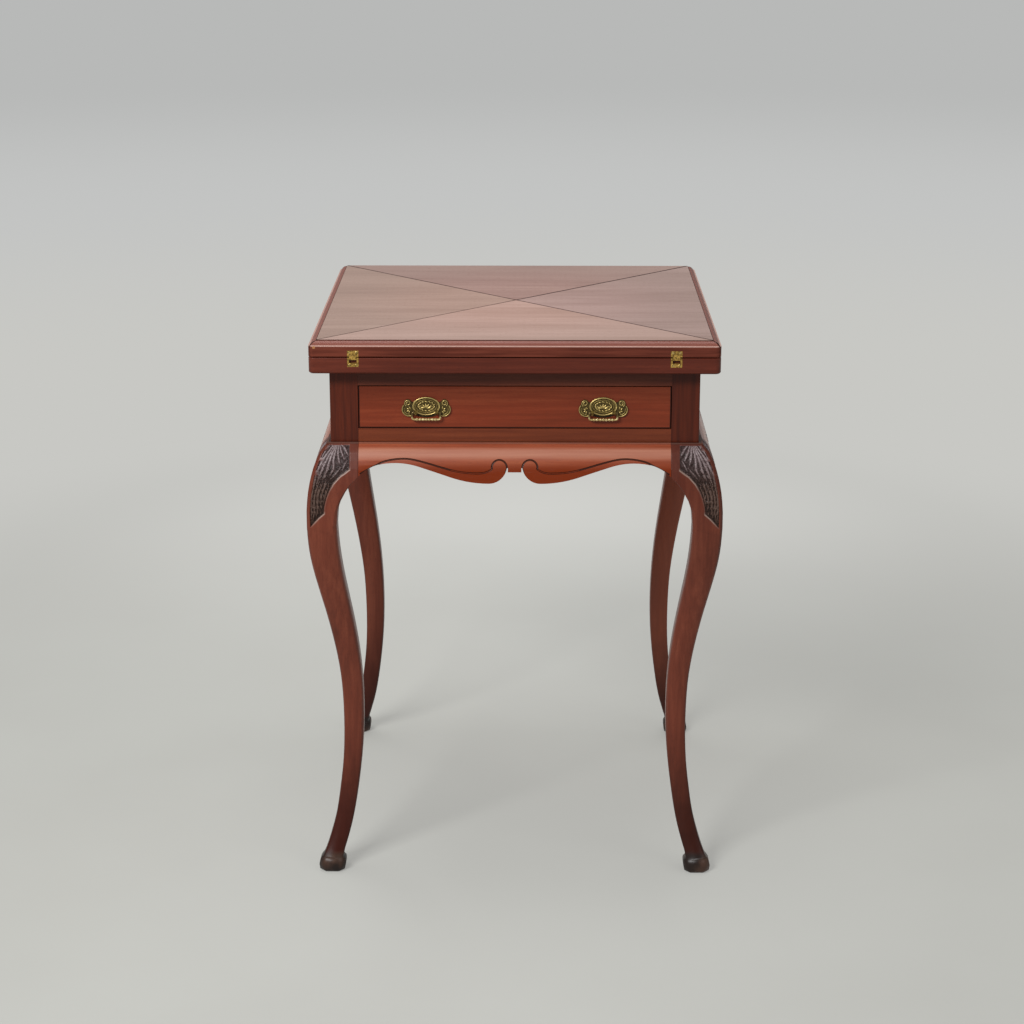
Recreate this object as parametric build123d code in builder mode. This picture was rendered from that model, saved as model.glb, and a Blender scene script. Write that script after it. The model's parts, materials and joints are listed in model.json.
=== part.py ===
from build123d import *
from math import cos, radians, sin, sqrt
import os

# An envelope card table. Four triangular leaves fold over a square bed, the bed swivels on a
# low frame with one drawer, and the frame stands on four cabriole legs.
# All lengths are millimetres. The floor is z = 0, the centre of the table is x = y = 0 and the
# drawer front looks along -Y. A piece made for the front is turned about Z for the other sides.

# Overall sizes
top_side = 545.0
table_height = 765.3
top_overhang = 25.3
frieze_height = 98.7
post_side = 37.5
rail_thick = 22.0

# Top: four leaves over a bed, with a hairline between them for the hinges to work in
leaf_thick = 21.0
leaf_gap = 1.3
bed_thick = 21.5
swivel_gap = 0.3
corner_round = 8.0
mitre_gap = 0.8
joint_round = 1.0
joint_ease = 0.6
bed_under_ease = 1.8
mould_width = 10.7
mould_quirk = 1.0
lip_height = 14.2
lip_width = 2.0

# Baize linings let into the bed and into the inner face of every leaf
baize_thick = 1.0
baize_border = 25.0
baize_gap = 0.2

# Link hinges, two on each side of the top
hinge_from_corner = 59.2
plate_width = 15.0
plate_deep = 4.5
leaf_plate_height = 8.5
bed_plate_height = 12.2
link_width = 9.6
link_radius = 1.6
link_gap = 0.3
pin_radius = 0.8
pin_inset = 2.0
pin_clear = 0.05
pin_short = 0.5
bed_slot_drop = 7.2
plate_clear = 0.05

# Swivel under the bed
board_deep = 130.0
board_thick = 20.0
bolt_radius = 6.0
bolt_head_radius = 10.0
bolt_head_height = 5.0
bolt_end = 1.0
flange_side = 80.0
flange_thick = 3.0
bush_wall = 3.0
bush_height = 9.0
nut_pocket_radius = 14.0
washer_radius = 12.0
washer_thick = 1.5
nut_flats = 19.0
nut_height = 7.0
turn_angle = 45.0
peg_radius = 4.0
peg_orbit = 48.0
peg_socket = 10.0
slide_clear = 0.3
bore_clear = 0.05
seat_clear = 0.02

# Frieze and drawer
top_rail_height = 21.7
bottom_rail_height = 18.1
rail_deep = 50.0
drawer_gap = 1.2
drawer_front_thick = 20.0
drawer_side_thick = 10.0
drawer_end_gap = 20.4
side_top_gap = 3.6
back_drop = 12.0
drawer_bottom_thick = 6.0
drawer_groove = 5.0
drawer_bottom_rise = 6.5
groove_clear = 0.1
run_clear = 0.3
runner_width = 20.0
runner_height = 16.0
guide_height = 35.0
kicker_gap = 5.3
stop_length = 40.0
stop_width = 14.0
stop_height = 5.0
stop_share = 0.7153

# Shaped apron, with a fillet over a swelling face that the knees share
fillet_height = 2.0
fillet_out = 9.6
apron_end_drop = 42.5
apron_depth = 51.0
apron_back = 14.0
tab_half = 9.0
tab_drop = 36.2
notch_drop = 31.0
scroll_radius = 24.8
scroll_centre = 34.6
block_side = 14.0
block_length = 40.0

# Legs: each station is a square that stands out from the frieze by a share of the swell
knee_swell = 32.4
foot_height = 25.0
foot_side = 38.8
arris_share = 0.1
post_arris = 1.2

# Height share, share of the swell, side as a share of the foot or of the post
foot_shares = (
    (0.00, 0.765, 0.80),
    (0.12, 0.846, 0.94),
    (0.40, 0.877, 1.00),
    (0.68, 0.833, 0.97),
    (0.88, 0.753, 0.887),
)
shin_shares = (
    (0.000, 0.679, 0.768),
    (0.011, 0.592, 0.695),
    (0.031, 0.451, 0.677),
    (0.063, 0.272, 0.672),
    (0.108, 0.093, 0.667),
    (0.162, -0.049, 0.672),
    (0.225, -0.179, 0.677),
    (0.297, -0.253, 0.704),
    (0.378, -0.256, 0.736),
    (0.468, -0.173, 0.768),
    (0.559, 0.049, 0.832),
    (0.649, 0.358, 0.901),
    (0.739, 0.710, 0.987),
    (0.811, 0.926, 1.045),
    (0.874, 1.000, 1.056),
    (0.914, 0.997, 1.099),
    (0.942, 0.963, 1.211),
    (0.964, 0.917, 1.347),
    (0.982, 0.861, 1.488),
    (1.000, 0.790, 1.683),
)
# From the ear up to the fillet the inner faces stand in line with the post
knee_shares = (
    (0.000, 0.790),
    (0.247, 0.704),
    (0.494, 0.586),
    (0.741, 0.451),
    (1.000, 0.272),
)
# Last stations of the shin at which the inner corners tighten to meet the apron squarely
ear_stations = 5
ear_corner = 0.3

# Scalloped lower edge from the scroll to the leg, as shares of the half width and of the drop
# from the underside of the frieze to the scroll's lowest point
scallop_shares = (
    (0.410, 0.840),
    (0.610, 0.580),
    (0.850, 0.515),
)

# Brass drawer handles
handle_out_share = 0.56414
handle_share = 0.2807
plate_thick = 1.2
rim_height = 1.0
oval_half_width = 17.6
oval_half_height = 12.6
oval_rise = 4.6
rim_width = 1.8
lobe_radius = 9.6
lobe_out = 23.2
bulb_radius = 5.0
bulb_out = 24.6
bulb_rise = 8.8
pull_half = 18.85
pull_drop = 10.4
pull_rise = -3.2
pull_stand = 5.0
arm_radius = 1.4
bend = 1.8
bead_count = 7
bead_radius = 2.2
bead_pitch = 4.1
bead_waist = 1.6
bead_share = 0.6
eye_radius = 2.6
eye_width = 4.0
stud_out = 14.2
stud_bolt_radius = 1.5
stud_nut_radius = 4.0
stud_nut_thick = 3.0
stud_bolt_end = 1.5

# Levels and faces that follow from the sizes above
half_top = top_side / 2
half_frame = half_top - top_overhang
leaf_under = table_height - leaf_thick
bed_over = leaf_under - leaf_gap
bed_under = bed_over - bed_thick
frame_top = bed_under - swivel_gap
frame_under = frame_top - frieze_height
post_inner = half_frame - post_side
rail_inner = half_frame - rail_thick
opening_top = frame_top - top_rail_height
opening_under = frame_under + bottom_rail_height
ear_level = frame_under - apron_end_drop
fillet_under = frame_under - fillet_height
apron_inner = half_frame - apron_back
sides = (("front", 0), ("right", 90), ("back", 180), ("left", 270))


def save(piece, name):
    piece.label = name
    export_step(piece, f"parts/{name}.step")


def turned(piece, angle):
    return piece.rotate(Axis.Z, angle)


def station_out(share):
    return half_frame + share * knee_swell


def shin_level(share):
    return foot_height + share * (ear_level - foot_height)


def knee_level(share):
    return ear_level + share * (fillet_under - ear_level)


# Legs

def leg_square(level, out, side, arris, inner):
    """A station of the front left leg: outer corner at (-out, -out), four softened corners."""
    near = out - side
    with BuildSketch(Plane.XY.offset(level)) as station:
        with BuildLine():
            Polyline((-out, -near - inner), (-out, -out + arris), (-out + arris, -out),
                     (-near - inner, -out), (-near, -out + inner), (-near, -near - inner),
                     (-near - inner, -near), (-out + inner, -near), close=True)
        make_face()
    return station.sketch


def make_leg():
    shin = []
    for share, swell, side in foot_shares:
        width = side * foot_side
        round_off = 2 * arris_share * width
        shin.append(leg_square(share * foot_height, station_out(swell), width,
                               round_off, round_off))
    for index, (share, swell, side) in enumerate(shin_shares):
        width = side * post_side
        arris = arris_share * min(width, foot_side)
        to_ear = min(1.0, (len(shin_shares) - 1 - index) / ear_stations)
        shin.append(leg_square(shin_level(share), station_out(swell), width,
                               arris, ear_corner + (arris - ear_corner) * to_ear))
    knee = []
    for share, swell in knee_shares:
        out = station_out(swell)
        knee.append(leg_square(knee_level(share), out, out - post_inner,
                               arris_share * foot_side, ear_corner))
    fillet_edge = half_frame + fillet_out
    cap_at = -(fillet_edge + post_inner) / 2
    post_at = -(half_frame + post_inner) / 2
    cut_at = -(apron_inner + post_inner) / 2
    ankle = len(foot_shares)
    ear = len(shin) - ear_stations - 1
    with BuildPart() as leg:
        loft(sections=shin[:ankle], ruled=True)
        loft(sections=shin[ankle - 1:ear + 1])
        loft(sections=shin[ear:], ruled=True)
        loft(sections=knee, ruled=True)
        # Fillet over the knee, and the post that runs up to the top of the frame
        with BuildSketch(Plane.XY.offset(fillet_under)):
            with Locations((cap_at, cap_at)):
                Rectangle(fillet_edge - post_inner, fillet_edge - post_inner)
        extrude(amount=fillet_height)
        with BuildSketch(Plane.XY.offset(frame_under)) as post:
            with Locations((post_at, post_at)):
                Rectangle(post_side, post_side)
            outer_corner = post.vertices().sort_by(Axis.X)[:2].sort_by(Axis.Y)[:1]
            fillet(outer_corner, post_arris)
        extrude(amount=frieze_height)
        # The inner corner of the knee is cut away, which leaves an ear on each face
        with BuildSketch(Plane.XY.offset(frame_under)):
            with Locations((cut_at, cut_at)):
                Rectangle(apron_inner - post_inner, apron_inner - post_inner)
        extrude(amount=-(apron_end_drop + foot_height), mode=Mode.SUBTRACT)
    return leg.part


# Aprons

def knee_face(share):
    """A point of the swelling face, on the arc that the knees follow, as (y, z)."""
    level = shin_level(shin_shares[-4][0])
    upper = -station_out(knee_shares[-1][1])
    lower = -station_out(shin_shares[-4][1])
    middle = -station_out(knee_shares[1][1])
    points = {0: (upper, fillet_under), 1: (middle, knee_level(knee_shares[1][0])),
              2: (lower, level)}
    return points[share]


def make_apron():
    scroll_level = frame_under - apron_depth + scroll_radius
    notch_level = frame_under - notch_drop
    notch_x = scroll_centre - sqrt(scroll_radius**2 - (scroll_level - notch_level) ** 2)
    shoulder = scroll_radius * sqrt(0.5)
    edge = [(x * post_inner, frame_under - z * apron_depth) for x, z in scallop_shares]
    top, swell, low = knee_face(0), knee_face(1), knee_face(2)
    fillet_edge = -half_frame - fillet_out
    with BuildPart() as apron:
        with BuildSketch(Plane.XZ.offset(apron_inner)):
            with BuildLine():
                Polyline((0, frame_under), (0, frame_under - tab_drop),
                         (tab_half, frame_under - tab_drop), (tab_half, notch_level),
                         (notch_x, notch_level))
                curve = ThreePointArc(
                    (notch_x, notch_level),
                    (scroll_centre - shoulder, scroll_level - shoulder),
                    (scroll_centre, frame_under - apron_depth))
                for point in (*edge, (post_inner, ear_level)):
                    curve = TangentArc(curve @ 1, point, tangent=curve % 1)
                Polyline((post_inner, ear_level), (post_inner, frame_under), (0, frame_under))
            make_face()
            mirror(about=Plane.YZ)
        extrude(amount=knee_swell + apron_back)
        with BuildSketch(Plane.YZ):
            with BuildLine():
                ThreePointArc(top, swell, low)
                Polyline(low, (-apron_inner, low[1]), (-apron_inner, frame_under),
                         (fillet_edge, frame_under), (fillet_edge, fillet_under), top)
            make_face()
        extrude(amount=half_frame, both=True, mode=Mode.INTERSECT)
    return apron.part


def make_glue_blocks():
    with BuildPart() as blocks:
        for _, angle in sides:
            spots = [(x * post_inner, -apron_inner + block_side / 2)
                     for x in (-0.6, 0, 0.6)]
            with BuildSketch(Plane.XY.offset(frame_under).rotated((0, 0, angle))):
                with Locations(*spots):
                    Rectangle(block_length, block_side)
            extrude(amount=-block_side)
    return blocks.part


# Frame rails, runners and the board that carries the swivel

def bar(width, deep, high, centre, align=Align.MIN):
    """A squared piece of timber: centre gives x and y of its middle and z of its underside."""
    with BuildPart() as piece:
        with Locations(centre):
            Box(width, deep, high, align=(Align.CENTER, Align.CENTER, align))
    return piece.part


def make_front_rail(level, high):
    middle = -half_frame + rail_deep / 2
    return bar(2 * post_inner, rail_deep, high, (0, middle, level))


def make_frieze_rail():
    middle = half_frame - rail_thick / 2
    return bar(2 * post_inner, rail_thick, frieze_height, (0, middle, frame_under))


board_under = frame_top - board_thick
side_out = post_inner - drawer_gap - run_clear
side_under = opening_under + run_clear + drawer_gap
side_top = board_under - side_top_gap
floor_top = side_under + drawer_bottom_rise + drawer_bottom_thick
handle_level = floor_top + handle_share * (opening_top - floor_top)
drawer_back_at = rail_inner - drawer_end_gap
drawer_length = drawer_back_at + half_frame - drawer_front_thick
runner_out = side_out + run_clear
runner_from = -half_frame + rail_deep
runner_top = side_under - run_clear


def make_runners():
    length = rail_inner - runner_from
    with BuildPart() as runners:
        with Locations((runner_out - runner_width / 2, (rail_inner + runner_from) / 2,
                        runner_top)):
            Box(runner_width, length, runner_height,
                align=(Align.CENTER, Align.CENTER, Align.MAX))
        mirror(about=Plane.YZ)
    return runners.part


def make_guides():
    width = rail_inner - runner_out
    length = post_inner - runner_from
    with BuildPart() as guides:
        with Locations((runner_out + width / 2, (post_inner + runner_from) / 2,
                        runner_top - runner_height)):
            Box(width, length, guide_height,
                align=(Align.CENTER, Align.CENTER, Align.MIN))
        mirror(about=Plane.YZ)
    return guides.part


def make_kickers():
    reach = rail_inner - board_deep / 2
    front_reach = -board_deep / 2 - runner_from
    kicker_height = frame_top - kicker_gap - side_top - run_clear
    with BuildPart() as kickers:
        with Locations((runner_out - runner_width / 2, rail_inner - reach / 2,
                        side_top + run_clear)):
            Box(runner_width, reach, kicker_height,
                align=(Align.CENTER, Align.CENTER, Align.MIN))
        with Locations((runner_out - runner_width / 2, runner_from + front_reach / 2,
                        side_top + run_clear)):
            Box(runner_width, front_reach, kicker_height,
                align=(Align.CENTER, Align.CENTER, Align.MIN))
        mirror(about=Plane.YZ)
    return kickers.part


def make_stops():
    stop_at = -half_frame + drawer_front_thick + run_clear + stop_width / 2
    with BuildPart() as stops:
        with Locations((-stop_share * post_inner, stop_at, opening_under),
                       (stop_share * post_inner, stop_at, opening_under)):
            Box(stop_length, stop_width, stop_height,
                align=(Align.CENTER, Align.CENTER, Align.MIN))
    return stops.part


def make_pivot_board():
    """A board across the frame: a bore for the bush, and an arc that the stop peg runs in."""
    peg_route = CenterArc((0, 0), peg_orbit, -turn_angle / 2, turn_angle)
    with BuildPart() as board:
        with BuildSketch(Plane.XY.offset(board_under)):
            Rectangle(2 * rail_inner, board_deep)
            Circle(bolt_radius + bore_clear + bush_wall + seat_clear, mode=Mode.SUBTRACT)
            SlotArc(peg_route, 2 * (peg_radius + slide_clear), mode=Mode.SUBTRACT)
        extrude(amount=board_thick)
        with BuildSketch(Plane.XY.offset(board_under)):
            Circle(nut_pocket_radius)
        extrude(amount=board_thick - bush_height, mode=Mode.SUBTRACT)
    return board.part


def ring(outer, inner, level, high):
    with BuildPart() as piece:
        with BuildSketch(Plane.XY.offset(level)):
            Circle(outer)
            Circle(inner, mode=Mode.SUBTRACT)
        extrude(amount=high)
    return piece.part


# Drawer

def make_drawer_front():
    width = 2 * (post_inner - drawer_gap)
    high = opening_top - opening_under - 2 * drawer_gap
    middle = -half_frame + drawer_front_thick / 2
    groove_under = side_under + drawer_bottom_rise - groove_clear
    with BuildPart() as front:
        with Locations((0, middle, opening_under + drawer_gap)):
            Box(width, drawer_front_thick, high, align=(Align.CENTER, Align.CENTER, Align.MIN))
        with Locations((0, -half_frame + drawer_front_thick, groove_under)):
            Box(2 * side_out - 2 * (drawer_side_thick - drawer_groove), 2 * drawer_groove,
                drawer_bottom_thick + 2 * groove_clear,
                align=(Align.CENTER, Align.CENTER, Align.MIN), mode=Mode.SUBTRACT)
        with BuildSketch(Plane.XZ.offset(half_frame)):
            with Locations(*stud_places()):
                Circle(stud_bolt_radius + bore_clear)
        extrude(amount=-drawer_front_thick, mode=Mode.SUBTRACT)
    return front.part


def make_drawer_side(hand):
    back_at = -half_frame + drawer_front_thick
    middle = back_at + drawer_length / 2
    inner = side_out - drawer_side_thick
    groove_under = side_under + drawer_bottom_rise - groove_clear
    with BuildPart() as side:
        with Locations((hand * (side_out - drawer_side_thick / 2), middle, side_under)):
            Box(drawer_side_thick, drawer_length, side_top - side_under,
                align=(Align.CENTER, Align.CENTER, Align.MIN))
        with Locations((hand * inner, middle, groove_under)):
            Box(2 * drawer_groove, drawer_length, drawer_bottom_thick + 2 * groove_clear,
                align=(Align.CENTER, Align.CENTER, Align.MIN), mode=Mode.SUBTRACT)
    return side.part


def make_drawer_bottom():
    width = 2 * (side_out - drawer_side_thick + drawer_groove - groove_clear)
    near = -half_frame + drawer_front_thick - drawer_groove + groove_clear
    return bar(width, drawer_back_at - near, drawer_bottom_thick,
               (0, (near + drawer_back_at) / 2, side_under + drawer_bottom_rise))


def make_drawer_back():
    width = 2 * (side_out - drawer_side_thick)
    return bar(width, drawer_side_thick, side_top - back_drop - floor_top,
               (0, drawer_back_at - drawer_side_thick / 2, floor_top))


def stud_places():
    """Where the handle studs pass through the drawer front, as (x, level)."""
    return [(x + hand * stud_out, handle_level + pull_rise)
            for x in handle_centres() for hand in (-1, 1)]


# Drawer handles

def handle_centres():
    return (-handle_out_share * post_inner, handle_out_share * post_inner)


def make_handle_plates():
    """Stamped plates: a rimmed oval between two lobes, each with a bulb on its shoulder."""
    ovals = [(x, handle_level + oval_rise) for x in handle_centres()]
    lobes = [(x + hand * lobe_out, handle_level) for x in handle_centres() for hand in (-1, 1)]
    bulbs = [(x + hand * bulb_out, handle_level + bulb_rise)
             for x in handle_centres() for hand in (-1, 1)]
    with BuildPart() as plates:
        with BuildSketch(Plane.XZ.offset(half_frame)):
            with Locations(*ovals):
                Ellipse(oval_half_width, oval_half_height)
            with Locations(*lobes):
                Circle(lobe_radius)
            with Locations(*bulbs):
                Circle(bulb_radius)
        extrude(amount=plate_thick)
        with BuildSketch(Plane.XZ.offset(half_frame + plate_thick)):
            with Locations(*ovals):
                Ellipse(oval_half_width, oval_half_height)
                Ellipse(oval_half_width - rim_width, oval_half_height - rim_width,
                        mode=Mode.SUBTRACT)
        extrude(amount=rim_height)
        with BuildSketch(Plane.XZ.offset(half_frame)):
            with Locations(*stud_places()):
                Circle(stud_bolt_radius + bore_clear)
        extrude(amount=plate_thick + rim_height, mode=Mode.SUBTRACT)
    return plates.part


def make_studs():
    """Four studs that pass through plate and drawer front, each with an eye for the bail."""
    pull_out = half_frame + pull_stand
    bolt_back = half_frame - drawer_front_thick - stud_nut_thick - stud_bolt_end
    with BuildPart() as studs:
        for x, level in stud_places():
            with BuildSketch(Plane.XZ.offset(bolt_back)):
                with Locations((x, level)):
                    Circle(stud_bolt_radius)
            extrude(amount=pull_out - eye_radius / 2 - bolt_back)
            with BuildSketch(Plane.YZ.offset(x)):
                with Locations((-pull_out, level)):
                    RegularPolygon(eye_radius, 8, major_radius=False, rotation=22.5)
            extrude(amount=eye_width / 2, both=True)
            with BuildSketch(Plane.YZ.offset(x)):
                with Locations((-pull_out, level)):
                    Circle(arm_radius + bore_clear)
            extrude(amount=eye_width, both=True, mode=Mode.SUBTRACT)
    return studs.part


def make_stud_nuts():
    inside = half_frame - drawer_front_thick
    with BuildPart() as nuts:
        with BuildSketch(Plane.XZ.offset(inside)):
            with Locations(*stud_places()):
                RegularPolygon(stud_nut_radius, 6)
                Circle(stud_bolt_radius + seat_clear, mode=Mode.SUBTRACT)
        extrude(amount=-stud_nut_thick)
    return nuts.part


def make_pull(centre):
    """A bail: two arms with inturned ends, and a beaded bar between them."""
    pull_level = handle_level + pull_rise
    bar_level = pull_level - pull_drop
    out = -half_frame - pull_stand
    end_at = centre - stud_out + eye_width / 2
    arm_at = centre - pull_half
    bar_from = centre - bead_pitch * bead_count / 2
    bar_length = bead_pitch * bead_count
    with BuildPart() as pull:
        with BuildLine() as route:
            Polyline((end_at, out, pull_level), (arm_at + bend, out, pull_level),
                     (arm_at, out, pull_level - bend), (arm_at, out, bar_level + bend),
                     (arm_at + bend, out, bar_level), (bar_from, out, bar_level))
        with BuildSketch(Plane(route.line @ 0, z_dir=route.line % 0)):
            RegularPolygon(arm_radius, 8)
        sweep(path=route.line, transition=Transition.RIGHT)
        mirror(about=Plane.YZ.offset(centre))
        with BuildSketch(Plane.YZ.offset(bar_from)):
            with Locations((out, bar_level)):
                RegularPolygon(bead_waist, 8, major_radius=False)
        extrude(amount=bar_length)
        for bead in range(bead_count):
            with BuildSketch(Plane.YZ.offset(bar_from + (bead + 1 / 2) * bead_pitch)):
                with Locations((out, bar_level)):
                    RegularPolygon(bead_radius, 8, major_radius=False)
            extrude(amount=bead_pitch * bead_share / 2, both=True)
    return pull.part


# Top

def hinge_places():
    out = half_top - hinge_from_corner
    return (-out, out)


def cut_plate_seat(level, height):
    """Recesses in the front edge for two hinge plates, from level upwards."""
    with BuildPart() as seat:
        for x in hinge_places():
            with Locations((x, -half_top, level)):
                Box(plate_width + 2 * plate_clear, 2 * (plate_deep + plate_clear), height,
                    align=(Align.CENTER, Align.CENTER, Align.MIN))
    return seat.part


def make_bed_board():
    baize_side = top_side - 2 * baize_border
    seat_under = bed_over - bed_plate_height - plate_clear
    seat = cut_plate_seat(seat_under, bed_plate_height + leaf_gap)
    flange_top = bed_under + flange_thick
    peg_angle = radians(-turn_angle / 2)
    with BuildPart() as board:
        with BuildSketch(Plane.XY.offset(bed_under)):
            RectangleRounded(top_side, top_side, corner_round)
        extrude(amount=bed_thick)
        chamfer(board.faces().sort_by(Axis.Z)[0].edges(), bed_under_ease)
        chamfer(board.faces().sort_by(Axis.Z)[-1].edges(), joint_ease)
        with BuildSketch(Plane.XY.offset(bed_over)):
            Rectangle(baize_side, baize_side)
        extrude(amount=-baize_thick, mode=Mode.SUBTRACT)
        for _, angle in sides:
            add(turned(seat, angle), mode=Mode.SUBTRACT)
        with BuildSketch(Plane.XY.offset(bed_under)):
            Rectangle(flange_side + 2 * seat_clear, flange_side + 2 * seat_clear)
        extrude(amount=flange_thick, mode=Mode.SUBTRACT)
        with BuildSketch(Plane.XY.offset(flange_top)):
            RegularPolygon(bolt_head_radius + seat_clear, 6)
        extrude(amount=bolt_head_height, mode=Mode.SUBTRACT)
        with BuildSketch(Plane.XY.offset(bed_under)):
            with Locations((peg_orbit * cos(peg_angle), peg_orbit * sin(peg_angle))):
                Circle(peg_radius + seat_clear)
        extrude(amount=peg_socket, mode=Mode.SUBTRACT)
    return board.part


def make_bed_baize():
    side = top_side - 2 * baize_border - 2 * baize_gap
    return bar(side, side, baize_thick, (0, 0, bed_over), Align.MAX)


def make_flange():
    with BuildPart() as flange:
        with BuildSketch(Plane.XY.offset(bed_under)):
            Rectangle(flange_side, flange_side)
            Circle(bolt_radius + seat_clear, mode=Mode.SUBTRACT)
        extrude(amount=flange_thick)
    return flange.part


def make_bolt():
    head_under = bed_under + flange_thick
    with BuildPart() as bolt:
        with BuildSketch(Plane.XY.offset(board_under + bolt_end)):
            Circle(bolt_radius)
        extrude(amount=head_under - board_under - bolt_end)
        with BuildSketch(Plane.XY.offset(head_under)):
            RegularPolygon(bolt_head_radius, 6)
        extrude(amount=bolt_head_height)
    return bolt.part


def make_nut():
    top = frame_top - bush_height - slide_clear - washer_thick
    with BuildPart() as nut:
        with BuildSketch(Plane.XY.offset(top)):
            RegularPolygon(nut_flats / 2, 6, major_radius=False)
            Circle(bolt_radius + seat_clear, mode=Mode.SUBTRACT)
        extrude(amount=-nut_height)
    return nut.part


def make_peg():
    angle = radians(-turn_angle / 2)
    with BuildPart() as peg:
        with BuildSketch(Plane.XY.offset(board_under + bolt_end)):
            with Locations((peg_orbit * cos(angle), peg_orbit * sin(angle))):
                Circle(peg_radius)
        extrude(amount=bed_under + peg_socket - board_under - bolt_end)
    return peg.part


def leaf_plan(inset):
    """The front leaf seen from above, drawn in from its outer edge and mitres by an inset."""
    half = half_top - inset
    apex = mitre_gap / 2 * sqrt(2) + inset * sqrt(2)
    with BuildSketch(mode=Mode.PRIVATE) as plan:
        if inset == 0:
            RectangleRounded(2 * half, 2 * half, corner_round)
        else:
            Rectangle(2 * half, 2 * half)
        with BuildLine():
            Polyline((0, -apex), (-top_side, -apex - top_side), (top_side, -apex - top_side),
                     close=True)
        make_face(mode=Mode.INTERSECT)
    return plan.sketch


def make_leaf_board():
    edge = -half_top
    lip = leaf_under + lip_height
    shoulder = table_height - mould_quirk
    seat = cut_plate_seat(leaf_under - leaf_gap, leaf_plate_height + plate_clear + leaf_gap)
    bow = mould_width - lip_width
    with BuildPart() as leaf:
        with BuildSketch(Plane.YZ):
            with BuildLine():
                Polyline((0, leaf_under), (edge + joint_round, leaf_under))
                ThreePointArc(
                    (edge + joint_round, leaf_under),
                    (edge + joint_round * (1 - sqrt(0.5)),
                     leaf_under + joint_round * (1 - sqrt(0.5))),
                    (edge, leaf_under + joint_round))
                Polyline((edge, leaf_under + joint_round), (edge, lip),
                         (edge + lip_width, lip))
                RadiusArc((edge + lip_width, lip), (edge + mould_width, shoulder), 1.2 * bow)
                Polyline((edge + mould_width, shoulder), (edge + mould_width, table_height),
                         (0, table_height), (0, leaf_under))
            make_face()
        extrude(amount=half_top, both=True)
        with BuildSketch(Plane.XY.offset(leaf_under)):
            add(leaf_plan(0))
        extrude(amount=leaf_thick, mode=Mode.INTERSECT)
        with BuildSketch(Plane.XY.offset(leaf_under)):
            add(leaf_plan(baize_border))
        extrude(amount=baize_thick, mode=Mode.SUBTRACT)
        add(seat, mode=Mode.SUBTRACT)
    return leaf.part


def make_leaf_baize():
    with BuildPart() as baize:
        with BuildSketch(Plane.XY.offset(leaf_under)):
            add(leaf_plan(baize_border + baize_gap))
        extrude(amount=baize_thick)
    return baize.part


# Link hinges. Their pins, like the rods of the handles, are drawn with eight sides, and a pin
# of eight sides turns freely in a bore whose flats clear its corners.

def make_hinge_plates(level, height, joint, pin_level, slot_from, slot_to):
    """Two plates on the front edge, each slotted for its link, with the pin riveted across."""
    with BuildPart() as plates:
        for x in hinge_places():
            with Locations((x, -half_top + plate_deep / 2, level)):
                Box(plate_width, plate_deep, height,
                    align=(Align.CENTER, Align.CENTER, Align.MIN))
        outer_edges = plates.edges().filter_by(Axis.X).group_by(Axis.Y)[0]
        chamfer(outer_edges.filter_by_position(Axis.Z, joint, joint), joint_ease)
        for x in hinge_places():
            with Locations((x, -half_top + plate_deep / 2, (slot_from + slot_to) / 2)):
                Box(link_width + 2 * link_gap, plate_deep, slot_to - slot_from,
                    mode=Mode.SUBTRACT)
            with BuildSketch(Plane.YZ.offset(x - plate_width / 2 + pin_short)):
                with Locations((-half_top + pin_inset, pin_level)):
                    RegularPolygon(pin_radius, 8)
            extrude(amount=plate_width - 2 * pin_short)
    return plates.part


def make_links():
    low = bed_over - pin_inset
    high = leaf_under + pin_inset
    with BuildPart() as links:
        for x in hinge_places():
            with BuildSketch(Plane.YZ.offset(x - link_width / 2)):
                with Locations((-half_top + pin_inset, (low + high) / 2)):
                    SlotCenterToCenter(high - low, 2 * link_radius, rotation=90)
                with Locations((-half_top + pin_inset, low), (-half_top + pin_inset, high)):
                    RegularPolygon(pin_radius + pin_clear, 8, major_radius=False,
                                   mode=Mode.SUBTRACT)
            extrude(amount=link_width)
    return links.part


os.makedirs("parts", exist_ok=True)

leg = make_leg()
for name, angle in (("front_left_leg", 0), ("front_right_leg", 90),
                    ("back_right_leg", 180), ("back_left_leg", 270)):
    save(turned(leg, angle), name)
apron = make_apron()
for side, angle in sides:
    save(turned(apron, angle), f"{side}_apron")
save(make_glue_blocks(), "apron_glue_blocks")

save(make_front_rail(opening_top, top_rail_height), "front_top_rail")
save(make_front_rail(frame_under, bottom_rail_height), "front_bottom_rail")
frieze_rail = make_frieze_rail()
for name, angle in (("back_frieze_rail", 0), ("left_frieze_rail", 90),
                    ("right_frieze_rail", 270)):
    save(turned(frieze_rail, angle), name)
save(make_runners(), "drawer_runners")
save(make_guides(), "drawer_guides")
save(make_kickers(), "drawer_kickers")
save(make_stops(), "drawer_stops")
save(make_pivot_board(), "pivot_board")
bush_bore = bolt_radius + bore_clear
save(ring(bush_bore + bush_wall, bush_bore, frame_top - bush_height, bush_height),
     "pivot_bush")

save(make_drawer_front(), "drawer_front")
save(make_drawer_side(-1), "drawer_left_side")
save(make_drawer_side(1), "drawer_right_side")
save(make_drawer_bottom(), "drawer_bottom")
save(make_drawer_back(), "drawer_back")
save(make_handle_plates(), "handle_plates")
save(make_studs(), "handle_studs")
save(make_stud_nuts(), "handle_nuts")
for hand, centre in zip(("left", "right"), handle_centres()):
    save(make_pull(centre), f"{hand}_handle_bail")

save(make_bed_board(), "bed_board")
save(make_bed_baize(), "bed_baize")
save(make_flange(), "pivot_flange")
save(make_bolt(), "pivot_bolt")
washer_under = frame_top - bush_height - slide_clear - washer_thick
save(ring(washer_radius, bolt_radius + seat_clear, washer_under, washer_thick),
     "pivot_washer")
save(make_nut(), "pivot_nut")
save(make_peg(), "stop_peg")

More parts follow.
